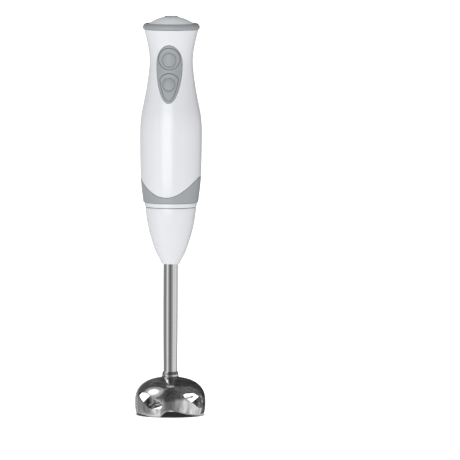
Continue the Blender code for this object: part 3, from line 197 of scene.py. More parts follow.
def shell(radius, wall, foot, top, start, sweep, steps, levels, edge=0.35 * MM):
    """A shell round Z, between the heights foot(turn) and top(turn), with its outer edges rounded."""
    whole = sweep > 2 * math.pi - 0.0001
    quarter = [math.radians(a) for a in (0, 22.5, 45, 67.5, 90)]
    arc = [(edge * (1 - math.cos(a)), edge * (1 - math.sin(a))) for a in quarter]
    sections = []
    for i in range(steps if whole else steps + 1):
        turn = start + sweep * i / steps
        low, high = foot(turn), top(turn)
        line = [(low + up, inward) for up, inward in arc]
        line += [(low + edge + (high - low - 2 * edge) * k / levels, 0) for k in range(1, levels)]
        line += [(high - up, inward) for up, inward in arc[::-1]]
        loop = [(radius(z) - inward, z) for z, inward in line]
        loop += [(radius(z) - wall, z) for z, _ in line[::-1]]
        sections.append([(r * math.cos(turn), r * math.sin(turn), z) for r, z in loop])
    bm = bmesh.new()
    made = bridge(bm, sections, whole)
    if not whole:
        for section in (made[0], made[-1]):
            half = len(section) // 2
            for k in range(half - 1):
                bm.faces.new((section[k], section[k + 1], section[-2 - k], section[-1 - k]))
    return bm


def finish_mesh(name, bm):
    """An object in the scene from a bmesh, with its faces turned outwards."""
    bmesh.ops.recalc_face_normals(bm, faces=bm.faces)
    mesh = bpy.data.meshes.new(name)
    bm.to_mesh(mesh)
    bm.free()
    made = bpy.data.objects.new(name, mesh)
    bpy.context.scene.collection.objects.link(made)
    return made


def prism(outline, near_y, far_y, turn=0.0):
    """A cutter: an outline of (x, z) points, drawn out along Y and then turned about Z."""
    bm = bmesh.new()
    spin = Matrix.Rotation(turn, 3, "Z")
    ends = [[bm.verts.new(spin @ Vector((x, y, z))) for x, z in outline] for y in (near_y, far_y)]
    for end in ends:
        bm.faces.new(end)
    for j in range(len(outline)):
        k = (j + 1) % len(outline)
        bm.faces.new((ends[0][j], ends[0][k], ends[1][k], ends[1][j]))
    return finish_mesh("cutter", bm)


def carve(piece, *helpers, operation="DIFFERENCE"):
    """Cuts the helpers from the piece, or joins them to it, and removes them."""
    for helper in helpers:
        modifier = piece.modifiers.new("carve", "BOOLEAN")
        modifier.operation = operation
        modifier.object = helper
    evaluated = piece.evaluated_get(bpy.context.evaluated_depsgraph_get())
    mesh = bpy.data.meshes.new_from_object(evaluated)
    bm = bmesh.new()
    bm.from_mesh(mesh)
    bmesh.ops.dissolve_degenerate(bm, edges=bm.edges, dist=SLIVER)
    bm.to_mesh(mesh)
    bm.free()
    piece.modifiers.clear()
    piece.data = mesh
    for helper in helpers:
        bpy.data.objects.remove(helper)
    return piece


def show(piece, material, body, slot, *replaced):
    """Gives a finished piece its material, hangs it on its body's empty and hides the imported pieces it
    stands for.
    """
    piece.data.shade_smooth()
    piece.data.set_sharp_from_angle(angle=SMOOTH_BELOW)
    piece.data.materials.clear()
    piece.data.materials.append(materials[material])
    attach(piece, body)
    if replaced:
        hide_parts(*replaced)
    print(piece.name, len(piece.data.vertices), "points")
    return piece


print("shading is split where faces meet at", round(math.degrees(SMOOTH_BELOW)), "degrees or more")

# %% [markdown]
# ## Finishes
# Each finish starts from the real material and from how its surface was made. Colours are read as the
# eye would name them, in sRGB, and turned to the linear values that light is reckoned in. One function
# adds a node, sets it and links it, so that a material reads as a short list.

# %% Colour and node helpers
# a Mix node has a pair of inputs and a result for each kind of data: these are its colours' places
COLOUR_A, COLOUR_B, COLOUR_RESULT = 6, 7, 2
DRIFT = 14 * MM  # how far apart the slow changes of colour lie
materials = {}


def linear(code):
    """The linear colour of an sRGB hex value such as #C8CACB."""
    shares = [int(code[k : k + 2], 16) / 255 for k in (1, 3, 5)]
    return (*[s / 12.92 if s <= 0.04045 else ((s + 0.055) / 1.055) ** 2.4 for s in shares], 1)


def add(tree, kind, settings, links=None):
    """A new node: settings go to the socket or property of that name, links to inputs by name or place."""
    node = tree.nodes.new(kind)
    for key, value in settings.items():
        if isinstance(key, int) or key in node.inputs:
            node.inputs[key].default_value = value
        else:
            setattr(node, key, value)
    for key, output in (links or {}).items():
        tree.links.new(output, node.inputs[key])
    return node


def surface(name, colour, roughness, metallic=0.0, grain=0.5 * MM, spread=0.05, relief=0.004 * MM,
            stretch=(1, 1, 1), tint=0.04, **sockets):
    """A surface with a grain: its relief, its spread of roughness and a slow drift of its colour."""
    made = bpy.data.materials.new(name)
    made.use_nodes = True
    tree = made.node_tree
    shader = tree.nodes["Principled BSDF"]
    shader.inputs["Metallic"].default_value = metallic
    for key, value in sockets.items():
        shader.inputs[key.replace("_", " ")].default_value = value
    place = add(tree, "ShaderNodeTexCoord", {}).outputs["Object"]
    grain_place = add(tree, "ShaderNodeMapping", {"Scale": stretch}, {"Vector": place}).outputs["Vector"]
    fine = add(tree, "ShaderNodeTexNoise", {"Scale": 1 / grain, "Detail": 2}, {"Vector": grain_place})
    slow = add(tree, "ShaderNodeTexNoise", {"Scale": 1 / DRIFT, "Detail": 2}, {"Vector": place})
    levels = {"To Min": max(roughness - spread, 0.02), "To Max": roughness + spread}
    rough = add(tree, "ShaderNodeMapRange", levels, {"Value": fine.outputs["Fac"]})
    tree.links.new(rough.outputs["Result"], shader.inputs["Roughness"])
    bump = add(tree, "ShaderNodeBump", {"Strength": 1, "Distance": relief}, {"Height": fine.outputs["Fac"]})
    tree.links.new(bump.outputs["Normal"], shader.inputs["Normal"])
    dark = tuple(c * (1 - tint) for c in linear(colour)[:3]) + (1,)
    ends = {"data_type": "RGBA", COLOUR_A: linear(colour), COLOUR_B: dark}
    mix = add(tree, "ShaderNodeMix", ends, {"Factor": slow.outputs["Fac"]})
    tree.links.new(mix.outputs[COLOUR_RESULT], shader.inputs["Base Color"])
    materials[name] = made


print("sRGB #808080 is", round(linear("#808080")[0], 3), "in linear light")

# %% [markdown]
# ### Moulded plastics
# The shells are ABS, moulded in polished steel: a gloss that still wavers a little, because the skin
# shrinks unevenly as it cools. The grey trim comes from a tool with a fine spark-eroded texture, so it
# spreads the light into a satin. The texture's real pits are about 0.1 mm and would vanish at this
# size, so they are drawn near 0.35 mm.

# %% ABS, grey and white
# from a polished mould: a clear, slightly wavering gloss. The strong even light lifts this grey to white
surface("glossy_white_abs", "#C2C3C6", 0.24, grain=5 * MM, spread=0.02, relief=0.0012 * MM, tint=0.02,
        IOR=1.53)
# from a spark-eroded mould: a satin that keeps only the broad highlights
surface("satin_grey_abs", "#888C8E", 0.42, grain=0.35 * MM, spread=0.06, relief=0.006 * MM, IOR=1.53)
# a thermoplastic rubber moulded over a hard core: nearly matt, so thumbs leave no shine
surface("soft_grey_elastomer", "#868A8D", 0.5, grain=0.3 * MM, spread=0.05, relief=0.005 * MM, IOR=1.5)
# the same mould texture, shallower, in a paler grey: painted light, a lighter copy of the rim's grey where
# the dome faces the light
surface("painted_lit_grey_abs", "#D0D3D5", 0.36, grain=0.35 * MM, spread=0.05, relief=0.005 * MM, IOR=1.53)
print(len(materials), "plastics")

# %% [markdown]
# ### Metals
# The leg is stainless steel, buffed on a turning lathe: nearly a mirror, with hairlines that run round
# it. The lines are a noise squeezed along the axis: real ones are under 0.1 mm apart, too fine to show,
# so they are drawn at 0.25 mm. The other metals are ground, wound, sintered or stacked, and hidden.

# %% Steel, copper, brass, bronze and iron
# spun over a former and buffed: a mirror a little blurred round the axis
surface("spun_stainless_steel", "#D4D4D3", 0.13, 1.0, grain=6 * MM, spread=0.04, relief=0.0012 * MM,
        stretch=(1, 1, 24), tint=0.05)
# drawn through a die and buffed: a sharper mirror with fine lines round it
surface("buffed_stainless_steel", "#D4D4D3", 0.08, 1.0, grain=6 * MM, spread=0.03, relief=0.0012 * MM,
        stretch=(1, 1, 24), tint=0.05)
# ground on a wheel: bright, but with a broad, soft glint
surface("ground_steel", "#C6C6C8", 0.3, 1.0, grain=4 * MM, stretch=(1, 1, 20), relief=0.003 * MM)
# wound wire under lacquer: a rough red-brown bundle with small glints
surface("lacquered_copper_wire", "#B5683A", 0.32, 1.0, grain=1.2 * MM, relief=0.03 * MM, spread=0.08)
# turned copper, cut into bars: orange, with lines along the turn
surface("copper_bars", "#B87045", 0.3, 1.0, grain=1 * MM, stretch=(1, 1, 8), relief=0.004 * MM)
# rolled strip: warm yellow, with faint streaks one way
surface("rolled_brass", "#C8A85A", 0.3, 1.0, grain=2 * MM, stretch=(1, 1, 6), relief=0.003 * MM)
# powder pressed and sintered: porous and oily, so dark and soft
surface("sintered_bronze", "#8C6A42", 0.45, 1.0, grain=0.4 * MM, relief=0.02 * MM, spread=0.1)
# punched sheets in a stack under varnish: dark grey lines along the stack
surface("varnished_laminations", "#6A6A6E", 0.45, 1.0, grain=6 * MM, stretch=(1, 1, 12), relief=0.02 * MM)
print(len(materials), "finishes so far")

# %% [markdown]
# ### Rubber, board and other small stuff
# What is hidden still gets a finish of its own, because the buttons press and the leg comes down.

# %% Hidden materials
# a moulded thermoplastic elastomer: pale, soft-edged and matt
surface("grey_moulded_tpe", "#BDC0C2", 0.5, grain=0.4 * MM, relief=0.01 * MM, IOR=1.5)
# moulded nitrile: dark and dull, because the carbon in it takes the light
surface("nitrile_rubber", "#4A4C4E", 0.6, grain=0.4 * MM, relief=0.01 * MM, IOR=1.5)
# pressed graphite: black with a faint grey bloom
surface("pressed_carbon", "#1B1B1C", 0.55, grain=0.3 * MM, relief=0.01 * MM)
# moulded nylon: black with a dim sheen
surface("black_nylon", "#1D1D1F", 0.45, grain=0.4 * MM, relief=0.006 * MM, IOR=1.53)
# turned acetal: milky and slippery-looking
surface("natural_acetal", "#E8E7DF", 0.32, grain=1 * MM, relief=0.004 * MM, IOR=1.48)
# moulded with glass fibre: the fibres roughen the skin along the flow
surface("glass_filled_nylon", "#26272A", 0.5, grain=0.5 * MM, stretch=(1, 1, 3), relief=0.01 * MM, IOR=1.53)
# a lacquer over woven glass: glossy green
surface("solder_mask_on_glass_epoxy", "#1E6B3C", 0.3, grain=0.6 * MM, relief=0.008 * MM, IOR=1.55)
# extruded cable insulation: an even low gloss, brown for live
surface("brown_pvc", "#5A3320", 0.4, grain=0.8 * MM, relief=0.005 * MM, IOR=1.53)
# the same insulation, blue for neutral
surface("blue_pvc", "#2C56A8", 0.4, grain=0.8 * MM, relief=0.005 * MM, IOR=1.53)
print(len(materials), "finishes")

# %% [markdown]
# ## The handle's shells
# The white body is two half shells that meet at the sides, over a grey collar whose edge dips at the
# front like a scarf. Both follow one outline, so the same shell function makes them: only the heights
# of their edges change on the way round. A Boolean could cut the curve, but rings that follow it give
# a cleaner highlight along the edge.

# %% Collar and housings
SEAM = 0.3 * MM
HOUSING_WALL = 2.2 * MM
COLLAR_WALL = 2.0 * MM
COLLAR_CLOCKING = math.radians(-5)
collar_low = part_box("front_housing")[0].z - SEAM
side_rise = 18.9 * MM


def collar_edge(turn):
    """The collar's upper edge: a parabola seen from the front, so it climbs towards the sides."""
    height = collar_low
    for _ in range(4):
        reach = handle_radius(height) * math.cos(turn - COLLAR_CLOCKING)
        height = collar_low + side_rise * (reach / grip_radius) ** 2
    return height


half_seam = SEAM / 2 / grip_radius
whole = {"start": 0.0, "sweep": 2 * math.pi, "steps": 240}
bm = shell(handle_radius, COLLAR_WALL, lambda turn: body_foot, collar_edge, levels=14, **whole)
show(finish_mesh("collar_shell", bm), "satin_grey_abs", "motor_unit", "grey_abs", "collar")

housings = {}
for name, start in (("front_shell", -math.pi), ("rear_shell", 0.0)):
    spans = {"start": start + half_seam, "sweep": math.pi - 2 * half_seam, "steps": 128}
    bm = shell(handle_radius, HOUSING_WALL, lambda turn: collar_edge(turn) + SEAM, lambda turn: crown,
               levels=96, **spans)
    housings[name] = finish_mesh(name, bm)

# %% [markdown]
# ## The control panel
# A grey egg-shaped panel lies in an opening in the front shell and carries two buttons. Each is a pad:
# rings of points that shrink towards a middle, dropped on the curved handle. The rings lie close near
# an edge, where the surface turns down, and far apart where it is calm.

# %% Outlines of the panel and its buttons
panel_low, panel_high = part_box("panel_bezel")
PANEL_GAP = 0.3 * MM
PANEL_PROUD = 0.4 * MM
BUTTON_PROUD = 0.9 * MM
PANEL_THICKNESS = 2.8 * MM
BUTTON_THICKNESS = 3.0 * MM
LOWER_BUTTON_MARGIN = 2.5 * MM
panel_half = panel_high.x + PANEL_GAP
panel_widest = max(nodes["panel_bezel"].data.vertices, key=lambda v: v.co.x).co.z
panel_upper = panel_high.z + PANEL_GAP - panel_widest
panel_lower = panel_widest - panel_low.z + PANEL_GAP
button_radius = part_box("upper_button")[1].x
upper_middle = (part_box("upper_button")[0].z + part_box("upper_button")[1].z) / 2
lower_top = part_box("lower_button")[1].z


def panel_outline(inset, count=96):
    """The panel's edge as (x, z), set in by inset: half an ellipse above its widest line, half below."""
    half = panel_half - inset
    made = []
    for k in range(count):
        turn = 2 * math.pi * k / count
        length = (panel_upper if math.sin(turn) > 0 else panel_lower) - inset
        made.append((half * math.cos(turn), panel_widest + length * math.sin(turn)))
    return made


def upper_outline(inset, count=96):
    """The round upper button's edge as (x, z), set in by inset."""
    turns = [2 * math.pi * k / count for k in range(count)]
    radius = button_radius - inset
    return [(radius * math.cos(a), upper_middle + radius * math.sin(a)) for a in turns]


CORNER = 0.7 * MM  # of the drop, where its arc meets its side
DROP_STEPS = 72
ARC_STEPS = 24


def lower_outline(inset):
    """A drop: the panel's own edge set in, closed at the top by an arc that follows the upper button."""
    half = panel_half - LOWER_BUTTON_MARGIN - inset
    length = panel_lower - LOWER_BUTTON_MARGIN - inset
    top = lower_top - inset

    def arc(x):
        return top - (button_radius - math.sqrt(button_radius**2 - x**2))

    made = []
    for k in range(DROP_STEPS + 1):
        turn = math.pi + math.pi * k / DROP_STEPS
        x, z = half * math.cos(turn), panel_widest + length * math.sin(turn)
        if z < arc(x) - 0.4 * MM:
            made.append((x, z))
    edge = made[-1][0]
    for k in range(ARC_STEPS + 1):
        x = (edge - 0.35 * CORNER) * math.cos(math.pi * k / ARC_STEPS)
        made.append((x, arc(x) - 0.1 * CORNER * (abs(x) / edge) ** 8))
    return made


def on_handle(x, z, proud):
    """The point in front of (x, z) that stands proud of the handle's surface."""
    return (x, -math.sqrt((handle_radius(z) + proud) ** 2 - x**2), z)


def pad(rings, centre):
    """A closed pad from rings of points, the first of them on the back and the last near the centre."""
    bm = bmesh.new()
    made = [[bm.verts.new(p) for p in ring] for ring in rings]
    for outer, inner in zip(made, made[1:]):
        for j in range(len(outer)):
            k = (j + 1) % len(outer)
            bm.faces.new((outer[j], outer[k], inner[k], inner[j]))
    bm.faces.new(made[0][::-1])
    middle = bm.verts.new(centre)
    for j in range(len(made[-1])):
        bm.faces.new((made[-1][j], made[-1][(j + 1) % len(made[-1])], middle))
    return bm


def edge_drop(inset, edge):
    """How far a rounded edge has dropped at that distance from the outline."""
    return edge - math.sqrt(max(edge**2 - max(edge - inset, 0) ** 2, 0))


print("panel opening", round(2 * panel_half / MM, 1), "by", round((panel_upper + panel_lower) / MM, 1), "mm")

# %% [markdown]
# The opening in the front shell and the buttons' openings in the panel are cut, because their edges are
# sharp on the real object too and catch a thin shadow.

# %% Panel with its openings
CUT_FRONT = -2 * grip_radius
CUT_BACK = -4 * MM
opening = prism(panel_outline(0), CUT_FRONT, CUT_BACK)
carve(housings["front_shell"], opening)
show(housings["front_shell"], "glossy_white_abs", "motor_unit", "white_abs", "front_housing")
show(housings["rear_shell"], "glossy_white_abs", "motor_unit", "white_abs", "rear_housing")

PANEL_EDGE = 0.35 * MM
PANEL_RINGS = 16


def scaled(outline, centre_z, share):
    """The outline shrunk to that share about (0, centre_z)."""
    return [(x * share, centre_z + (z - centre_z) * share) for x, z in outline]


rings = [[on_handle(x, z, PANEL_PROUD - PANEL_THICKNESS) for x, z in panel_outline(PANEL_GAP)]]
for inset in (0, 0.05 * MM, 0.12 * MM, 0.22 * MM, PANEL_EDGE):
    drop = edge_drop(inset, PANEL_EDGE)
    rings.append([on_handle(x, z, PANEL_PROUD - drop) for x, z in panel_outline(PANEL_GAP + inset)])
inner = panel_outline(PANEL_GAP + PANEL_EDGE)
for k in range(1, PANEL_RINGS):
    share = 1 - k / PANEL_RINGS
    rings.append([on_handle(x, z, PANEL_PROUD) for x, z in scaled(inner, panel_widest, share)])
bezel = finish_mesh("control_panel", pad(rings, on_handle(0, panel_widest, PANEL_PROUD)))
for outline in (upper_outline(-PANEL_GAP), lower_outline(-PANEL_GAP)):
    carve(bezel, prism(outline, CUT_FRONT, CUT_BACK))
show(bezel, "soft_grey_elastomer", "motor_unit", "grey_soft", "panel_bezel")

# %% [markdown]
# Each button has a round raised disc for the thumb, with a groove round it. The rings start from the
# disc's own centre, so that the groove is a true circle, and end on the button's outline.

# %% Buttons
BUTTON_EDGE = 0.7 * MM
GROOVE_DEPTH = 0.7 * MM
GROOVE_WIDTH = 1.6 * MM
DISC_RISE = 0.2 * MM
DISC_DOME = 0.7 * MM
DISC_RINGS = 12
STEM_RADIUS = 1.5 * MM


def disc_height(distance, disc):
    """How far the button's surface stands above its plain level, by distance from the disc's centre."""
    if distance < disc:
        return DISC_RISE + DISC_DOME * (1 - (distance / disc) ** 2)
    share = min((distance - disc) / GROOVE_WIDTH, 1)
    return DISC_RISE * (1 - share) - GROOVE_DEPTH * math.sin(math.pi * share) ** 2


def make_button(name, outline, disc_middle, disc, switch, body):
    """A button with its disc and groove, joined to a stem that reaches back to its switch."""
    turns = [math.atan2(z - disc_middle, x) for x, z in outline]
    reaches = [math.hypot(x, z - disc_middle) for x, z in outline]

    def ring(distance_of, level_of):
        made = []
        for turn, reach in zip(turns, reaches):
            distance = distance_of(reach)
            x, z = distance * math.cos(turn), disc_middle + distance * math.sin(turn)
            made.append(on_handle(x, z, BUTTON_PROUD + level_of(distance)))
        return made

    rings = [ring(lambda reach: reach, lambda _: -BUTTON_THICKNESS)]
    for inset in (0, 0.08 * MM, 0.2 * MM, 0.4 * MM, BUTTON_EDGE):
        drop = edge_drop(inset, BUTTON_EDGE)
        rings.append(ring(lambda reach: reach - inset, lambda d: disc_height(d, disc) - drop))
    for share in (0.25, 0.5, 0.75):
        outside = disc + GROOVE_WIDTH
        rings.append(ring(lambda reach: reach - BUTTON_EDGE + (outside - reach + BUTTON_EDGE) * share,
                          lambda d: disc_height(d, disc)))
    for k in range(DISC_RINGS + 1):
        share = 1 - k / DISC_RINGS
        rings.append(ring(lambda _: disc + GROOVE_WIDTH * share, lambda d: disc_height(d, disc)))
    for k in range(1, DISC_RINGS):
        rings.append(ring(lambda _: disc * (1 - k / DISC_RINGS), lambda d: disc_height(d, disc)))
    centre = on_handle(0, disc_middle, BUTTON_PROUD + disc_height(0, disc))
    button = finish_mesh(name, pad(rings, centre))
    low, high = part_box(switch)
    height = (low.z + high.z) / 2
    stem_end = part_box(switch + "_plunger")[0].y - 0.1 * MM
    bm = bmesh.new()
    bmesh.ops.create_cone(bm, cap_ends=True, segments=32, radius1=STEM_RADIUS, radius2=STEM_RADIUS,
                          depth=stem_end + handle_radius(height) - MM)
    middle = (0, (stem_end - handle_radius(height) + MM) / 2, height)
    bmesh.ops.transform(bm, matrix=Matrix.Translation(middle) @ Matrix.Rotation(math.pi / 2, 4, "X"),
                        verts=bm.verts)
    carve(button, finish_mesh("stem", bm), operation="UNION")
    return show(button, "soft_grey_elastomer", body, "grey_soft", body)


UPPER_DISC = 5.3 * MM
LOWER_DISC = 4.8 * MM
lower_middle = panel_widest - 17.6 * MM
make_button("upper_push_button", upper_outline(0), upper_middle - MM, UPPER_DISC, "upper_switch",
            "upper_button")
make_button("lower_push_button", lower_outline(0), lower_middle, LOWER_DISC, "lower_switch", "lower_button")

# %% [markdown]
# ## The cap
# A grey cap closes the top: a shallow dome inside a rolled rim, with a groove between them, and a rubber
# gland where the mains cord would leave. It is one turned line, and the groove is drawn in it, because
# its shadow is what separates dome from rim.

# %% Cap and gland
cap_low, cap_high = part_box("cap")
rim_radius = cap_high.x
cap_foot = crown + SEAM
rim_crest = cap_foot + 4.9 * MM
DOME_RADIUS = 20.4 * MM
GLAND_HOLE = 5.15 * MM
BULGE = 7.0 * MM  # from the dome's edge to its top, were it not open for the gland
CAP_WALL = 2 * MM
ball = (DOME_RADIUS**2 + BULGE**2) / (2 * BULGE)
dome_top = rim_crest - 0.8 * MM + BULGE


def dome_height(radius):
    """The height of the dome, a part of a ball, at that radius."""
    return dome_top - (ball - math.sqrt(ball**2 - radius**2))


dome_radii = [GLAND_HOLE + (DOME_RADIUS - GLAND_HOLE) * k / 24 for k in range(25)]
dome = [(r, dome_height(r)) for r in dome_radii]
rim_keys = [
    (DOME_RADIUS + 0.15 * MM, rim_crest - 1.9 * MM),
    (DOME_RADIUS + 0.75 * MM, rim_crest - 2.0 * MM),
    (DOME_RADIUS + 1.05 * MM, rim_crest - 1.2 * MM),
    (DOME_RADIUS + 1.7 * MM, rim_crest - 0.2 * MM),
    (rim_radius - 2.3 * MM, rim_crest),
    (rim_radius - 1.1 * MM, rim_crest - 0.7 * MM),
    (rim_radius - 0.25 * MM, rim_crest - 2.1 * MM),
    (rim_radius, rim_crest - 3.3 * MM),
    (rim_radius - 0.12 * MM, cap_foot + 0.5 * MM),
    (rim_radius - 0.5 * MM, cap_foot),
]
rim = smooth_line(rim_keys[1:], 4)
skirt = max(r for r, z in rings_of("cap") if z < cap_foot - MM)
under_rim = [(skirt, cap_foot), (skirt, cap_low.z), (skirt - CAP_WALL, cap_low.z)]
under_rim += [(skirt - CAP_WALL, cap_foot + CAP_WALL), (DOME_RADIUS - 0.6 * MM, rim_keys[1][1])]
under_dome = [rim_keys[0], (DOME_RADIUS - 0.6 * MM, rim_keys[0][1])]
under_dome += [(r, z - CAP_WALL) for r, z in dome[:-2:2][::-1]]
cap_rim = finish_mesh("cap_rim", turned(rim + under_rim, 192))
show(cap_rim, "satin_grey_abs", "motor_unit", "grey_abs", "cap")
# painted light: the dome takes the paler copy of the rim's grey, because it faces the light
cap_dome = finish_mesh("cap_dome", turned(dome + under_dome, 192))
show(cap_dome, "painted_lit_grey_abs", "motor_unit", "grey_abs", "cap")

gland_low, gland_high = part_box("cord_gland")
gland_bore = 3.5 * MM
gland_neck = 5.0 * MM
lip_foot = dome_height(GLAND_HOLE) + 0.15 * MM
gland = [(gland_bore, gland_high.z - 0.15 * MM), (gland_bore + 0.2 * MM, gland_high.z)]
gland += [(gland_neck + 0.5 * MM, gland_high.z), (gland_neck + MM, gland_high.z - 0.15 * MM)]
gland += [(gland_high.x, lip_foot + 0.12 * MM), (gland_high.x - 0.1 * MM, lip_foot), (gland_neck, lip_foot)]
gland += [(gland_neck, gland_low.z + 1.6 * MM), (gland_high.x - 0.1 * MM, gland_low.z + 1.2 * MM)]
gland += [(gland_high.x - 0.1 * MM, gland_low.z), (gland_bore, gland_low.z)]
rubber_gland = finish_mesh("rubber_gland", turned(gland, 96))
show(rubber_gland, "grey_moulded_tpe", "motor_unit", "rubber", "cord_gland")

# %% [markdown]
# ## Lock ring and leg shell
# The white leg shell locks into a ring at the handle's foot: three lugs on its spigot wind up slots in
# the ring. They only show when the leg is let down, but then they carry the whole idea of the lock. Each
# is a square bar spun round the axis while it sinks.

# %% Ring, slots and lugs
UNLOCK_TURN = math.radians(90)
UNLOCK_DROP = 18 * MM
LUGS = 3
LUG_TURN = math.radians(15)
LUG_HEIGHT = 3 * MM
LUG_GAP = 0.5 * MM
SPIGOT_RADIUS = 18 * MM
SLOT_RADIUS = SPIGOT_RADIUS + 2.7 * MM
cone_low, cone_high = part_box("leg_cone")
cone_foot = cone_low.z
ring_low, ring_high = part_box("lock_ring")
spigot_top = cone_high.z
lug_top = spigot_top - 1.5 * MM


def winding_bar(inner, outer, height, top, start, sweep):
    """A bar of square section that sinks as it winds round Z, as the leg does when it is let down."""
    steps = max(4, round(sweep / math.radians(4)))
    corners = [(inner, top), (outer, top), (outer, top - height), (inner, top - height)]
    sections = []
    for i in range(steps + 1):
        turn = start - sweep * i / steps
        drop = UNLOCK_DROP * sweep / UNLOCK_TURN * i / steps
        sections.append([(r * math.cos(turn), r * math.sin(turn), z - drop) for r, z in corners])
    bm = bmesh.new()
    made = bridge(bm, sections, False)
    bm.faces.new(made[0])
    bm.faces.new(made[-1][::-1])
    return finish_mesh("bar", bm)


def rounded_edge(corner, inward, edge, steps=4):
    """Points that round off a corner: inward holds the two directions that lead away from it."""
    start = Vector(corner) + Vector(inward[0]) * edge
    end = Vector(corner) + Vector(inward[1]) * edge
    made = []
    for k in range(steps + 1):
        t = k / steps
        made.append(tuple(start * (1 - t) ** 2 + Vector(corner) * 2 * t * (1 - t) + end * t**2))
    return made


ring_step = body_foot - SEAM
ring_radius = ring_high.x
ring_back = SLOT_RADIUS + 1.1 * MM
bore = SPIGOT_RADIUS + 0.4 * MM
roof = ring_high.z - 2.5 * MM
loop = [(ring_back, ring_high.z), (ring_back, ring_step)]
loop += rounded_edge((ring_radius, ring_step), ((-1, 0), (0, -1)), 0.5 * MM)
loop += rounded_edge((ring_radius - 0.5 * MM, ring_low.z), ((0, 1), (-1, 0)), 0.6 * MM)
loop += [(bore, ring_low.z), (bore, roof), (7.1 * MM, roof), (7.1 * MM, ring_high.z)]
ring = finish_mesh("lock_socket", turned(loop))
margin = math.asin(LUG_GAP / SPIGOT_RADIUS)
slope = UNLOCK_DROP / UNLOCK_TURN
for i in range(LUGS):
    start = 2 * math.pi * i / LUGS + LUG_TURN / 2 + margin
    top = lug_top + LUG_GAP + slope * margin
    sweep = (lug_top - ring_low.z) / slope + LUG_TURN
    slot = winding_bar(bore - MM, SLOT_RADIUS, LUG_HEIGHT + 2 * LUG_GAP, top, start, sweep)
    carve(ring, slot)
show(ring, "glossy_white_abs", "motor_unit", "white_abs", "lock_ring")

# %% [markdown]
# The leg's shell is a long tulip. Its ends come from the frame and its side from a few shares of its
# height and width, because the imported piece's inner rings lie among its outer ones and can't be told
# apart. Its top edge is rounded, so that the gap to the ring reads as a fine dark line. The turned body
# has 200 sides, so that no side's edge falls on the end of a lug, where a Boolean would leave slivers.

# %% Leg shell
shoulder = ring_low.z - 0.4 * MM
# shares of the way up and of the way out, chosen so that the side runs from a slim foot to a full shoulder
TULIP_SHARES = ((0, 0), (0.062, 0.076), (0.2, 0.333), (0.415, 0.597), (0.627, 0.799), (0.84, 0.931), (1, 1))
TULIP_FOOT_RADIUS = 8.0 * MM
O_RING_GROOVE_DEPTH = 0.8 * MM
O_RING_GROOVE_WIDTH = 1.4 * MM
SPIGOT_WALL = 2.2 * MM
LEG_SHELL_STEPS = 200
tulip_swell = cone_high.x - TULIP_FOOT_RADIUS
tulip = [(TULIP_FOOT_RADIUS + across * tulip_swell, cone_foot + up * (shoulder - cone_foot))
         for up, across in TULIP_SHARES]
tulip = smooth_line(tulip, 8)
shoulder_radius = tulip[-1][0]
tube_top_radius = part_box("leg_tube")[1].x
groove_foot = shoulder + 2.5 * MM
groove_top = groove_foot + O_RING_GROOVE_WIDTH
groove_radius = SPIGOT_RADIUS - O_RING_GROOVE_DEPTH
spigot_bore = SPIGOT_RADIUS - SPIGOT_WALL
spigot = rounded_edge((shoulder_radius, shoulder), ((-0.28, -0.96), (-1, 0)), 0.7 * MM)
spigot += [(SPIGOT_RADIUS, shoulder), (SPIGOT_RADIUS, groove_foot), (groove_radius, groove_foot)]
spigot += [(groove_radius, groove_top), (SPIGOT_RADIUS, groove_top)]
spigot += rounded_edge((SPIGOT_RADIUS, spigot_top), ((0, -1), (-1, 0)), 0.5 * MM)
spigot += [(spigot_bore, spigot_top), (spigot_bore, shoulder - 2.4 * MM)]
tube_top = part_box("leg_tube")[1].z
hollow = [(r - 2 * MM, z) for r, z in tulip if tube_top + 2.5 * MM < z < shoulder - 4.4 * MM][::-1]
socket = tube_top_radius + 0.15 * MM
hollow += [(socket, tube_top + 0.3 * MM), (socket, cone_foot)]
body_line = [p for p in tulip if p[1] < shoulder - 0.7 * MM]
foot_edge = rounded_edge((body_line[0][0], cone_foot), ((-1, 0), (0, 1)), 0.4 * MM)
leg_shell_line = foot_edge + body_line[2:] + spigot + hollow
leg_shell = finish_mesh("leg_shell", turned(leg_shell_line, LEG_SHELL_STEPS))
for i in range(LUGS):
    start = 2 * math.pi * i / LUGS + LUG_TURN / 2
    lug = winding_bar(SPIGOT_RADIUS - MM, SPIGOT_RADIUS + 2.2 * MM, LUG_HEIGHT, lug_top, start, LUG_TURN)
    carve(leg_shell, lug, operation="UNION")
show(leg_shell, "glossy_white_abs", "leg", "white_abs", "leg_cone")

# %% [markdown]
# ## Steel tube, ferrule and bell
# The leg's tube is drawn steel, the bell is spun from sheet. The bell's windows slant, and its rim has
# two scallops that let food in under the blade. The sheet is 1 mm thick, and its cut edges show as
# bright lines, so the cuts go through a real wall.

# %% Tube and ferrule
ferrule_low, ferrule_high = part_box("neck_ferrule")
TUBE_WALL = 0.6 * MM
tube_line = smooth_line(rings_of("leg_tube"), 6)
tube = tube_line + [(r - TUBE_WALL, z) for r, z in tube_line[::-1]]
drawn_tube = finish_mesh("drawn_tube", turned(tube, 128))
show(drawn_tube, "buffed_stainless_steel", "leg", "polished_stainless", "leg_tube")

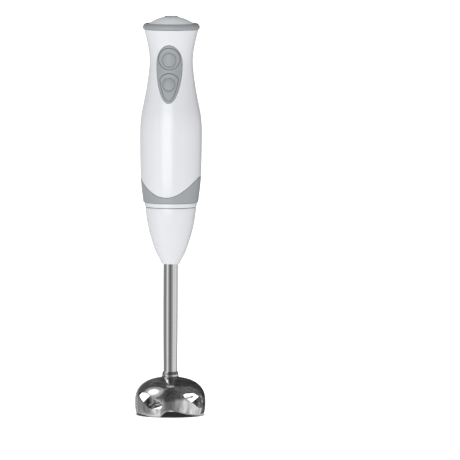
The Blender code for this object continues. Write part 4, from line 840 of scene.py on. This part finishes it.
tube_foot_radius = radius_at(tube_line, ferrule_low.z)
ferrule_bore = tube_foot_radius + 0.15 * MM
ferrule_radius = ferrule_high.x
loop = [(ferrule_bore, ferrule_low.z)]
loop += rounded_edge((ferrule_radius, ferrule_low.z), ((-1, 0), (0, 1)), 0.25 * MM)
loop += rounded_edge((ferrule_radius, ferrule_low.z + 1.4 * MM), ((0, -1), (-0.26, 0.97)), 0.3 * MM)
loop += rounded_edge((ferrule_bore + 0.45 * MM, ferrule_high.z), ((0.26, -0.97), (-1, 0)), 0.2 * MM)
loop += [(ferrule_bore, ferrule_high.z)]
ferrule = finish_mesh("ferrule", turned(loop, 128))
show(ferrule, "buffed_stainless_steel", "leg", "polished_stainless", "neck_ferrule")

# %% [markdown]
# The bell is made in three steps. First its wall: a lower part that leans out, a dome with the formula
# of a rounded square, which is fuller in the shoulder than a ball, and a short neck. The inside is the
# outside moved in by the sheet's thickness, square to the surface.

# %% The bell's wall
BELL_WALL = 1.0 * MM
LEG_CLOCKING = math.radians(11)
bell_low, bell_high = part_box("bell")
bell_radius = bell_high.x
neck_radius = 7.4 * MM
BELLY = 12.0 * MM
DOME_RISE = 21.4 * MM
ROUNDNESS = 2 / 2.42
RIM_RADIUS = 29.2 * MM
NECK_STARTS = math.radians(75)
SKIRT_STEPS = 18
DOME_STEPS = 40
outside = []
for k in range(SKIRT_STEPS + 1):
    share = k / SKIRT_STEPS
    outside.append((RIM_RADIUS + (bell_radius - RIM_RADIUS) * (1 - (1 - share) ** 3), BELLY * share))
for k in range(1, DOME_STEPS + 1):
    turn = NECK_STARTS * k / DOME_STEPS
    height = BELLY + DOME_RISE * math.sin(turn) ** ROUNDNESS
    outside.append((bell_radius * math.cos(turn) ** ROUNDNESS, height))
normals = []
for k, (r, z) in enumerate(outside):
    before, after = outside[max(k - 1, 0)], outside[min(k + 1, len(outside) - 1)]
    along = Vector((after[0] - before[0], after[1] - before[1])).normalized()
    normals.append((along.y, -along.x))
wall_line = [(r - n[0] * BELL_WALL, z - n[1] * BELL_WALL) for (r, z), n in zip(outside, normals)]
wall_line = [(r, max(z, bell_low.z)) for r, z in wall_line]
throat = tube_foot_radius + 0.15 * MM
loop = outside + [(neck_radius + 0.9 * MM, bell_high.z - 0.55 * MM)]
loop += [(neck_radius + 0.15 * MM, bell_high.z - 0.2 * MM)]
loop += [(neck_radius, bell_high.z), (throat, bell_high.z), (throat, wall_line[-1][1])] + wall_line[::-1]
bell = finish_mesh("spun_bell", turned(loop, 224))
print("bell", round(2 * bell_radius / MM, 1), "mm across, wall", BELL_WALL / MM, "mm")

# %% [markdown]
# Then the openings: four slanting windows, a scallop at the front and one at the back, and a shallow
# relief of the rim beside them. A tool has stamped them, so each is one outline pushed through the wall.
# A bevel then softens the edges, because a cut edge with no width would catch no light.

# %% Windows, scallops and relief
WINDOWS = 4
WINDOW_CORNERS = ((-14.4, 20.9), (-2.5, 21.0), (14.4, 12.0), (12.5, 7.4), (1.5, 7.6), (-13.4, 17.4))
SCALLOP = ((-13.2, -1.5), (-10.2, 2.3), (-7.3, 5.2), (-2.6, 6.6), (2.0, 5.9), (8.4, 3.9), (13.8, 2.7),
           (22.2, 1.2), (29.0, -0.6))
RELIEF = ((-17.0, -1.0), (-13.0, 1.9), (-6.0, 2.2), (2.0, 1.8), (9.0, 1.0), (17.0, -0.6))
RELIEF_TURN = math.radians(-66)
THROUGH_WALL = -bell_radius * 1.1
BELOW_RIM = -8 * MM


def rounded(corners, radius, steps=6):
    """A closed outline with its corners rounded, by radius or by half a short side."""
    made = []
    for before, corner, after in zip(corners[-1:] + corners[:-1], corners, corners[1:] + corners[:1]):
        back, on = before - corner, after - corner
        start = corner + back.normalized() * min(radius, 0.48 * back.length)
        end = corner + on.normalized() * min(radius, 0.48 * on.length)
        for k in range(steps + 1):
            t = k / steps
            made.append(tuple(start * (1 - t) ** 2 + corner * 2 * t * (1 - t) + end * t**2))
    return made


window = rounded([Vector(c) * MM for c in WINDOW_CORNERS], 2.2 * MM)
for i in range(WINDOWS):
    turn = LEG_CLOCKING + 2 * math.pi * (i + 0.5) / WINDOWS
    carve(bell, prism(window, THROUGH_WALL / 2, THROUGH_WALL, turn))
for edge, turn in ((SCALLOP, 0), (SCALLOP, math.pi), (RELIEF, RELIEF_TURN)):
    line = smooth_line([Vector(p) * MM for p in edge], 5)
    below = [(line[-1][0], BELOW_RIM), (line[0][0], BELOW_RIM)]
    carve(bell, prism(line + below, 0, THROUGH_WALL, LEG_CLOCKING + turn))
edge = bell.modifiers.new("edge", "BEVEL")
edge.width = 0.4 * MM
edge.segments = 3
edge.limit_method = "ANGLE"
edge.angle_limit = math.radians(40)
carve(bell)
print(WINDOWS, "windows,", len(bell.data.polygons), "faces")

# %% [markdown]
# Last, a thin bead along the two scallops, as if the sheet were rolled over there so that it can't cut a
# hand. It gives the edge a bright line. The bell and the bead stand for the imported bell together.

# %% Bead on the scallops
BEAD_RADIUS = 0.4 * MM
BEAD_SIDES = 12
bead = bmesh.new()
for side in (0, math.pi):
    path = [Vector(p) for p in smooth_line([Vector(p) * MM for p in SCALLOP], 8)]
    path = [p for p in path if p.y > 0.4 * MM]
    spin = Matrix.Rotation(LEG_CLOCKING + side, 3, "Z")
    spots = []
    for p in path:
        reach = radius_at(outside, p.y) - 0.15 * MM
        spots.append(spin @ Vector((p.x, -math.sqrt(reach**2 - p.x**2), p.y)))
    sections = []
    for before, here, after in zip(spots[:1] + spots[:-1], spots, spots[1:] + spots[-1:]):
        along = (after - before).normalized()
        outward = Vector((here.x, here.y, 0)).normalized()
        across = along.cross(outward).normalized()
        turns = [2 * math.pi * k / BEAD_SIDES for k in range(BEAD_SIDES)]
        sections.append([here + (outward * math.cos(a) + across * math.sin(a)) * BEAD_RADIUS for a in turns])
    made = bridge(bead, sections, False)
    bead.faces.new(made[0])
    bead.faces.new(made[-1][::-1])
show(finish_mesh("rim_bead", bead), "ground_steel", "leg", "polished_stainless", "bell")
show(bell, "spun_stainless_steel", "leg", "polished_stainless", "bell")

# %% [markdown]
# ## What stays as packed
# The pieces inside are already the right shape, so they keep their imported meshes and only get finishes.

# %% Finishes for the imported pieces
FINISH_OF_SLOT = {
    "polished_stainless": "buffed_stainless_steel",
    "bright_steel": "ground_steel",
    "laminated_iron": "varnished_laminations",
    "copper": "lacquered_copper_wire",
    "brass": "rolled_brass",
    "sintered_bronze": "sintered_bronze",
    "carbon": "pressed_carbon",
    "rubber": "nitrile_rubber",
    "black_plastic": "black_nylon",
    "acetal": "natural_acetal",
    "nylon": "glass_filled_nylon",
    "circuit_board": "solder_mask_on_glass_epoxy",
    "brown_pvc": "brown_pvc",
    "blue_pvc": "blue_pvc",
    "white_abs": "glossy_white_abs",
    "grey_abs": "satin_grey_abs",
    "grey_soft": "soft_grey_elastomer",
}
for part in frame["record"]["subparts"]:
    piece = nodes[part["node"]]
    finish = "copper_bars" if part["node"] == "commutator" else FINISH_OF_SLOT[part["material_slot"]]
    piece.data.materials.clear()
    piece.data.materials.append(materials[finish])

# %% [markdown]
# ## Stage and light
# The blender stands on white paper. Three things are added to the plain white, each by distance from the
# blender's axis. Inside the bell's rim the paper is painted dark, a painted shadow that is seen through the
# scallops and windows. Just outside the rim the paper glows a little, painted light that washes out the
# bell's contact shadow so that the paper stays white next to the bell. And beyond the rim most of it is left
# out of reflections, so that the steel mirrors the room and not a blank sheet. A real studio does the last
# with black card, but card would throw shadows here.

# %% Floor
FLOOR_RADIUS = 40
# painted shadow: the paper's colour is painted dark inside the bell's rim
PAINTED_SHADOW = {"From Min": 26 * MM, "From Max": 30 * MM, "To Min": 0.25, "To Max": 0.955}
# painted light: the paper glows just outside the bell's rim, which washes out the bell's contact shadow
PAINTED_GLOW = {"From Min": 29.2 * MM, "From Max": 30.5 * MM, "To Min": 0.0, "To Max": 0.4}
UNMIRRORED = {"From Min": 29 * MM, "From Max": 33 * MM, "To Min": 0.0, "To Max": 0.92}

bm = bmesh.new()
bmesh.ops.create_circle(bm, cap_ends=True, radius=FLOOR_RADIUS, segments=96)
floor = finish_mesh("floor", bm)
if floor.data.polygons[0].normal.z < 0:
    floor.data.flip_normals()
paper = bpy.data.materials.new("white_paper")
paper.use_nodes = True
tree = paper.node_tree
shader = tree.nodes["Principled BSDF"]
shader.inputs["Roughness"].default_value = 0.9
shader.inputs["Specular IOR Level"].default_value = 0.0
place = add(tree, "ShaderNodeTexCoord", {}).outputs["Object"]
reach = add(tree, "ShaderNodeVectorMath", {"operation": "LENGTH"}, {"Vector": place}).outputs["Value"]
# the paper's colour carries the painted shadow under the bell
painted_shadow_colour = add(tree, "ShaderNodeMapRange", PAINTED_SHADOW, {"Value": reach}).outputs["Result"]
tree.links.new(painted_shadow_colour, shader.inputs["Base Color"])
# the paper's emission carries the painted glow beside the bell
painted_glow = add(tree, "ShaderNodeMapRange", PAINTED_GLOW, {"Value": reach}).outputs["Result"]
tree.links.new(painted_glow, shader.inputs["Emission Strength"])
far = add(tree, "ShaderNodeMapRange", UNMIRRORED, {"Value": reach}).outputs["Result"]
mirrored = add(tree, "ShaderNodeLightPath", {}).outputs["Is Glossy Ray"]
hidden = add(tree, "ShaderNodeMath", {"operation": "MULTIPLY"}, {0: far, 1: mirrored}).outputs["Value"]
clear = add(tree, "ShaderNodeBsdfTransparent", {}).outputs["BSDF"]
choice = add(tree, "ShaderNodeMixShader", {}, {"Fac": hidden, 1: shader.outputs["BSDF"], 2: clear})
tree.links.new(choice.outputs["Shader"], tree.nodes["Material Output"].inputs["Surface"])
floor.data.materials.append(paper)
print("floor", 2 * FLOOR_RADIUS, "m across")

# %% [markdown]
# A dome of even light makes the paper white and the plastics calm. What the steel mirrors is another
# matter: a room with a dark side and a bright side, read by turn round the object. Two backgrounds do
# that, and a light path picks the room for mirrored rays only.

# %% The room's levels
EVEN_LIGHT = 0.72
# turn from the camera's side in degrees, to its right, and brightness
ROOM = (
    (-180, 0.02), (-165, 0.6), (-125, 0.32), (-80, 0.26), (-46, 1.4), (-28, 0.5),
    (-12, 0.08), (8, 0.16), (30, 0.5), (52, 0.95), (122, 0.95), (138, 0.02),
)
UPPER_ROOM = 0.07
BELOW_ROOM = 0.85
FURNITURE = 0.8  # how strongly the room's shapes darken it
OPEN_ROOM = 1.25  # the share where no shape stands

world = bpy.data.worlds.new("studio")
bpy.context.scene.world = world
world.use_nodes = True
tree = world.node_tree
place = add(tree, "ShaderNodeTexCoord", {}).outputs["Generated"]
to_camera_side = {"Rotation": (0, 0, -(CAMERA_TURN + FRONT))}
turned_place = add(tree, "ShaderNodeMapping", to_camera_side, {"Vector": place}).outputs["Vector"]
parts = add(tree, "ShaderNodeSeparateXYZ", {}, {"Vector": turned_place}).outputs
angle = add(tree, "ShaderNodeMath", {"operation": "ARCTAN2"}, {0: parts["Y"], 1: parts["X"]})
whole_turn = {"From Min": -math.pi, "From Max": math.pi}
share = add(tree, "ShaderNodeMapRange", whole_turn, {"Value": angle.outputs["Value"]}).outputs["Result"]
ramp = add(tree, "ShaderNodeValToRGB", {}, {"Fac": share})
ramp.color_ramp.interpolation = "EASE"
for k, (turn, level) in enumerate(ROOM):
    position = (turn + 180) / 360
    stop = ramp.color_ramp.elements[0] if k == 0 else ramp.color_ramp.elements.new(position)
    stop.position = position
    stop.color = (level, level, level * 1.02, 1)
ramp.color_ramp.elements.remove(ramp.color_ramp.elements[-1])
print("even light", EVEN_LIGHT, "and", len(ROOM), "levels round the mirrored room")

# %% [markdown]
# Upwards the room fades to a dark ceiling, and far downwards it is pale, like the paper. A noise that is
# stretched upwards stands for furniture: it breaks the reflections up, as a real room does.

# %% Even light and the mirrored room
CEILING = {"From Min": 0.02, "From Max": 0.25, "To Max": 0.86}
GROUND = {"From Min": -0.3, "From Max": -0.7}
LEVELS = {"From Min": 0.35, "From Max": 0.65, "To Min": OPEN_ROOM - FURNITURE, "To Max": OPEN_ROOM}

upward = add(tree, "ShaderNodeMapRange", CEILING, {"Value": parts["Z"]}).outputs["Result"]
downward = add(tree, "ShaderNodeMapRange", GROUND, {"Value": parts["Z"]}).outputs["Result"]
ceiling = {"data_type": "RGBA", COLOUR_B: (UPPER_ROOM, UPPER_ROOM, UPPER_ROOM * 1.05, 1)}
room = add(tree, "ShaderNodeMix", ceiling, {"Factor": upward, COLOUR_A: ramp.outputs["Color"]})
ground = {"data_type": "RGBA", COLOUR_B: (BELOW_ROOM, BELOW_ROOM, BELOW_ROOM, 1)}
room = add(tree, "ShaderNodeMix", ground, {"Factor": downward, COLOUR_A: room.outputs[COLOUR_RESULT]})
narrow = add(tree, "ShaderNodeMapping", {"Scale": (1, 1, 0.25)}, {"Vector": place}).outputs["Vector"]
clutter = add(tree, "ShaderNodeTexNoise", {"Scale": 7.0, "Detail": 3.0}, {"Vector": narrow})
strength = add(tree, "ShaderNodeMapRange", LEVELS, {"Value": clutter.outputs["Fac"]}).outputs["Result"]
room_colour = room.outputs[COLOUR_RESULT]
room_light = add(tree, "ShaderNodeBackground", {}, {"Color": room_colour, "Strength": strength})
even_light = tree.nodes["Background"]
even_light.inputs["Color"].default_value = (1, 1, 1, 1)
even_light.inputs["Strength"].default_value = EVEN_LIGHT
lights = {1: even_light.outputs["Background"], 2: room_light.outputs["Background"]}
mirrored = add(tree, "ShaderNodeLightPath", {}).outputs["Is Glossy Ray"]
choice = add(tree, "ShaderNodeMixShader", {}, {"Fac": mirrored, **lights})
tree.links.new(choice.outputs["Shader"], tree.nodes["World Output"].inputs["Surface"])
print(len(tree.nodes), "nodes in the world")

# %% [markdown]
# Three round lights of growing size and falling strength stand on the steel's left, so that the edge of
# the highlight is soft. One broad box in front lights the plastics. Each group has its own light, because
# the steel mirrors a light's shape and the plastics hardly do. The sun only reaches the floor.

# %% Boxes of light
STEEL_LIGHTS_TURN = -76
STEEL_LIGHTS_HEIGHT = 1.25
# name, distance and size in metres, brightness
STEEL_LIGHTS = (("left_core", 1.3, 0.75, 1.5), ("left_ring", 1.36, 1.25, 0.8), ("left_halo", 1.42, 2.4, 0.38))
FLOOR_LIGHT = 0.35


def softbox(name, turn, distance, height, width, tall, brightness, aim_height=0.18):
    """A box of light at that turn from the camera's side, positive to its right."""
    light = bpy.data.lights.new(name, "AREA")
    light.shape = "RECTANGLE"
    light.size = width
    light.size_y = tall
    light.energy = brightness * math.pi * width * tall
    made = bpy.data.objects.new(name, light)
    bpy.context.scene.collection.objects.link(made)
    angle = CAMERA_TURN + FRONT + math.radians(turn)
    made.location = (distance * math.cos(angle), distance * math.sin(angle), height)
    made.rotation_euler = (Vector((0, 0, aim_height)) - made.location).to_track_quat("-Z", "Y").to_euler()
    made.visible_camera = False
    return made


def shine_on(light, *names):
    """Lets a light reach only these pieces."""
    group = bpy.data.collections.new(light.name + "_group")
    for name in names:
        group.objects.link(bpy.data.objects[name])
    light.light_linking.receiver_collection = group


steel = ("spun_bell", "rim_bead", "drawn_tube", "ferrule")
for name, away, size, brightness in STEEL_LIGHTS:
    light = softbox(name, STEEL_LIGHTS_TURN, away, STEEL_LIGHTS_HEIGHT, size, size, brightness)
    light.data.shape = "DISK"
    light.data.energy *= math.pi / 4
    shine_on(light, *steel)
front_box = softbox("front_box", -14, 1.6, 0.26, 1.1, 1.3, 4.1)
shine_on(front_box, "collar_shell", "front_shell", "rear_shell", "control_panel", "upper_push_button",
         "lower_push_button", "cap_rim", "cap_dome", "lock_socket", "leg_shell")
floor_light = bpy.data.objects.new("floor_light", bpy.data.lights.new("floor_light", "SUN"))
bpy.context.scene.collection.objects.link(floor_light)
floor_light.data.energy = FLOOR_LIGHT * math.pi
floor_light.data.angle = 0.05
shine_on(floor_light, "floor")
bpy.context.scene.view_settings.view_transform = "Standard"
print(len(STEEL_LIGHTS), "lights on the steel, one on the plastics, one on the floor")
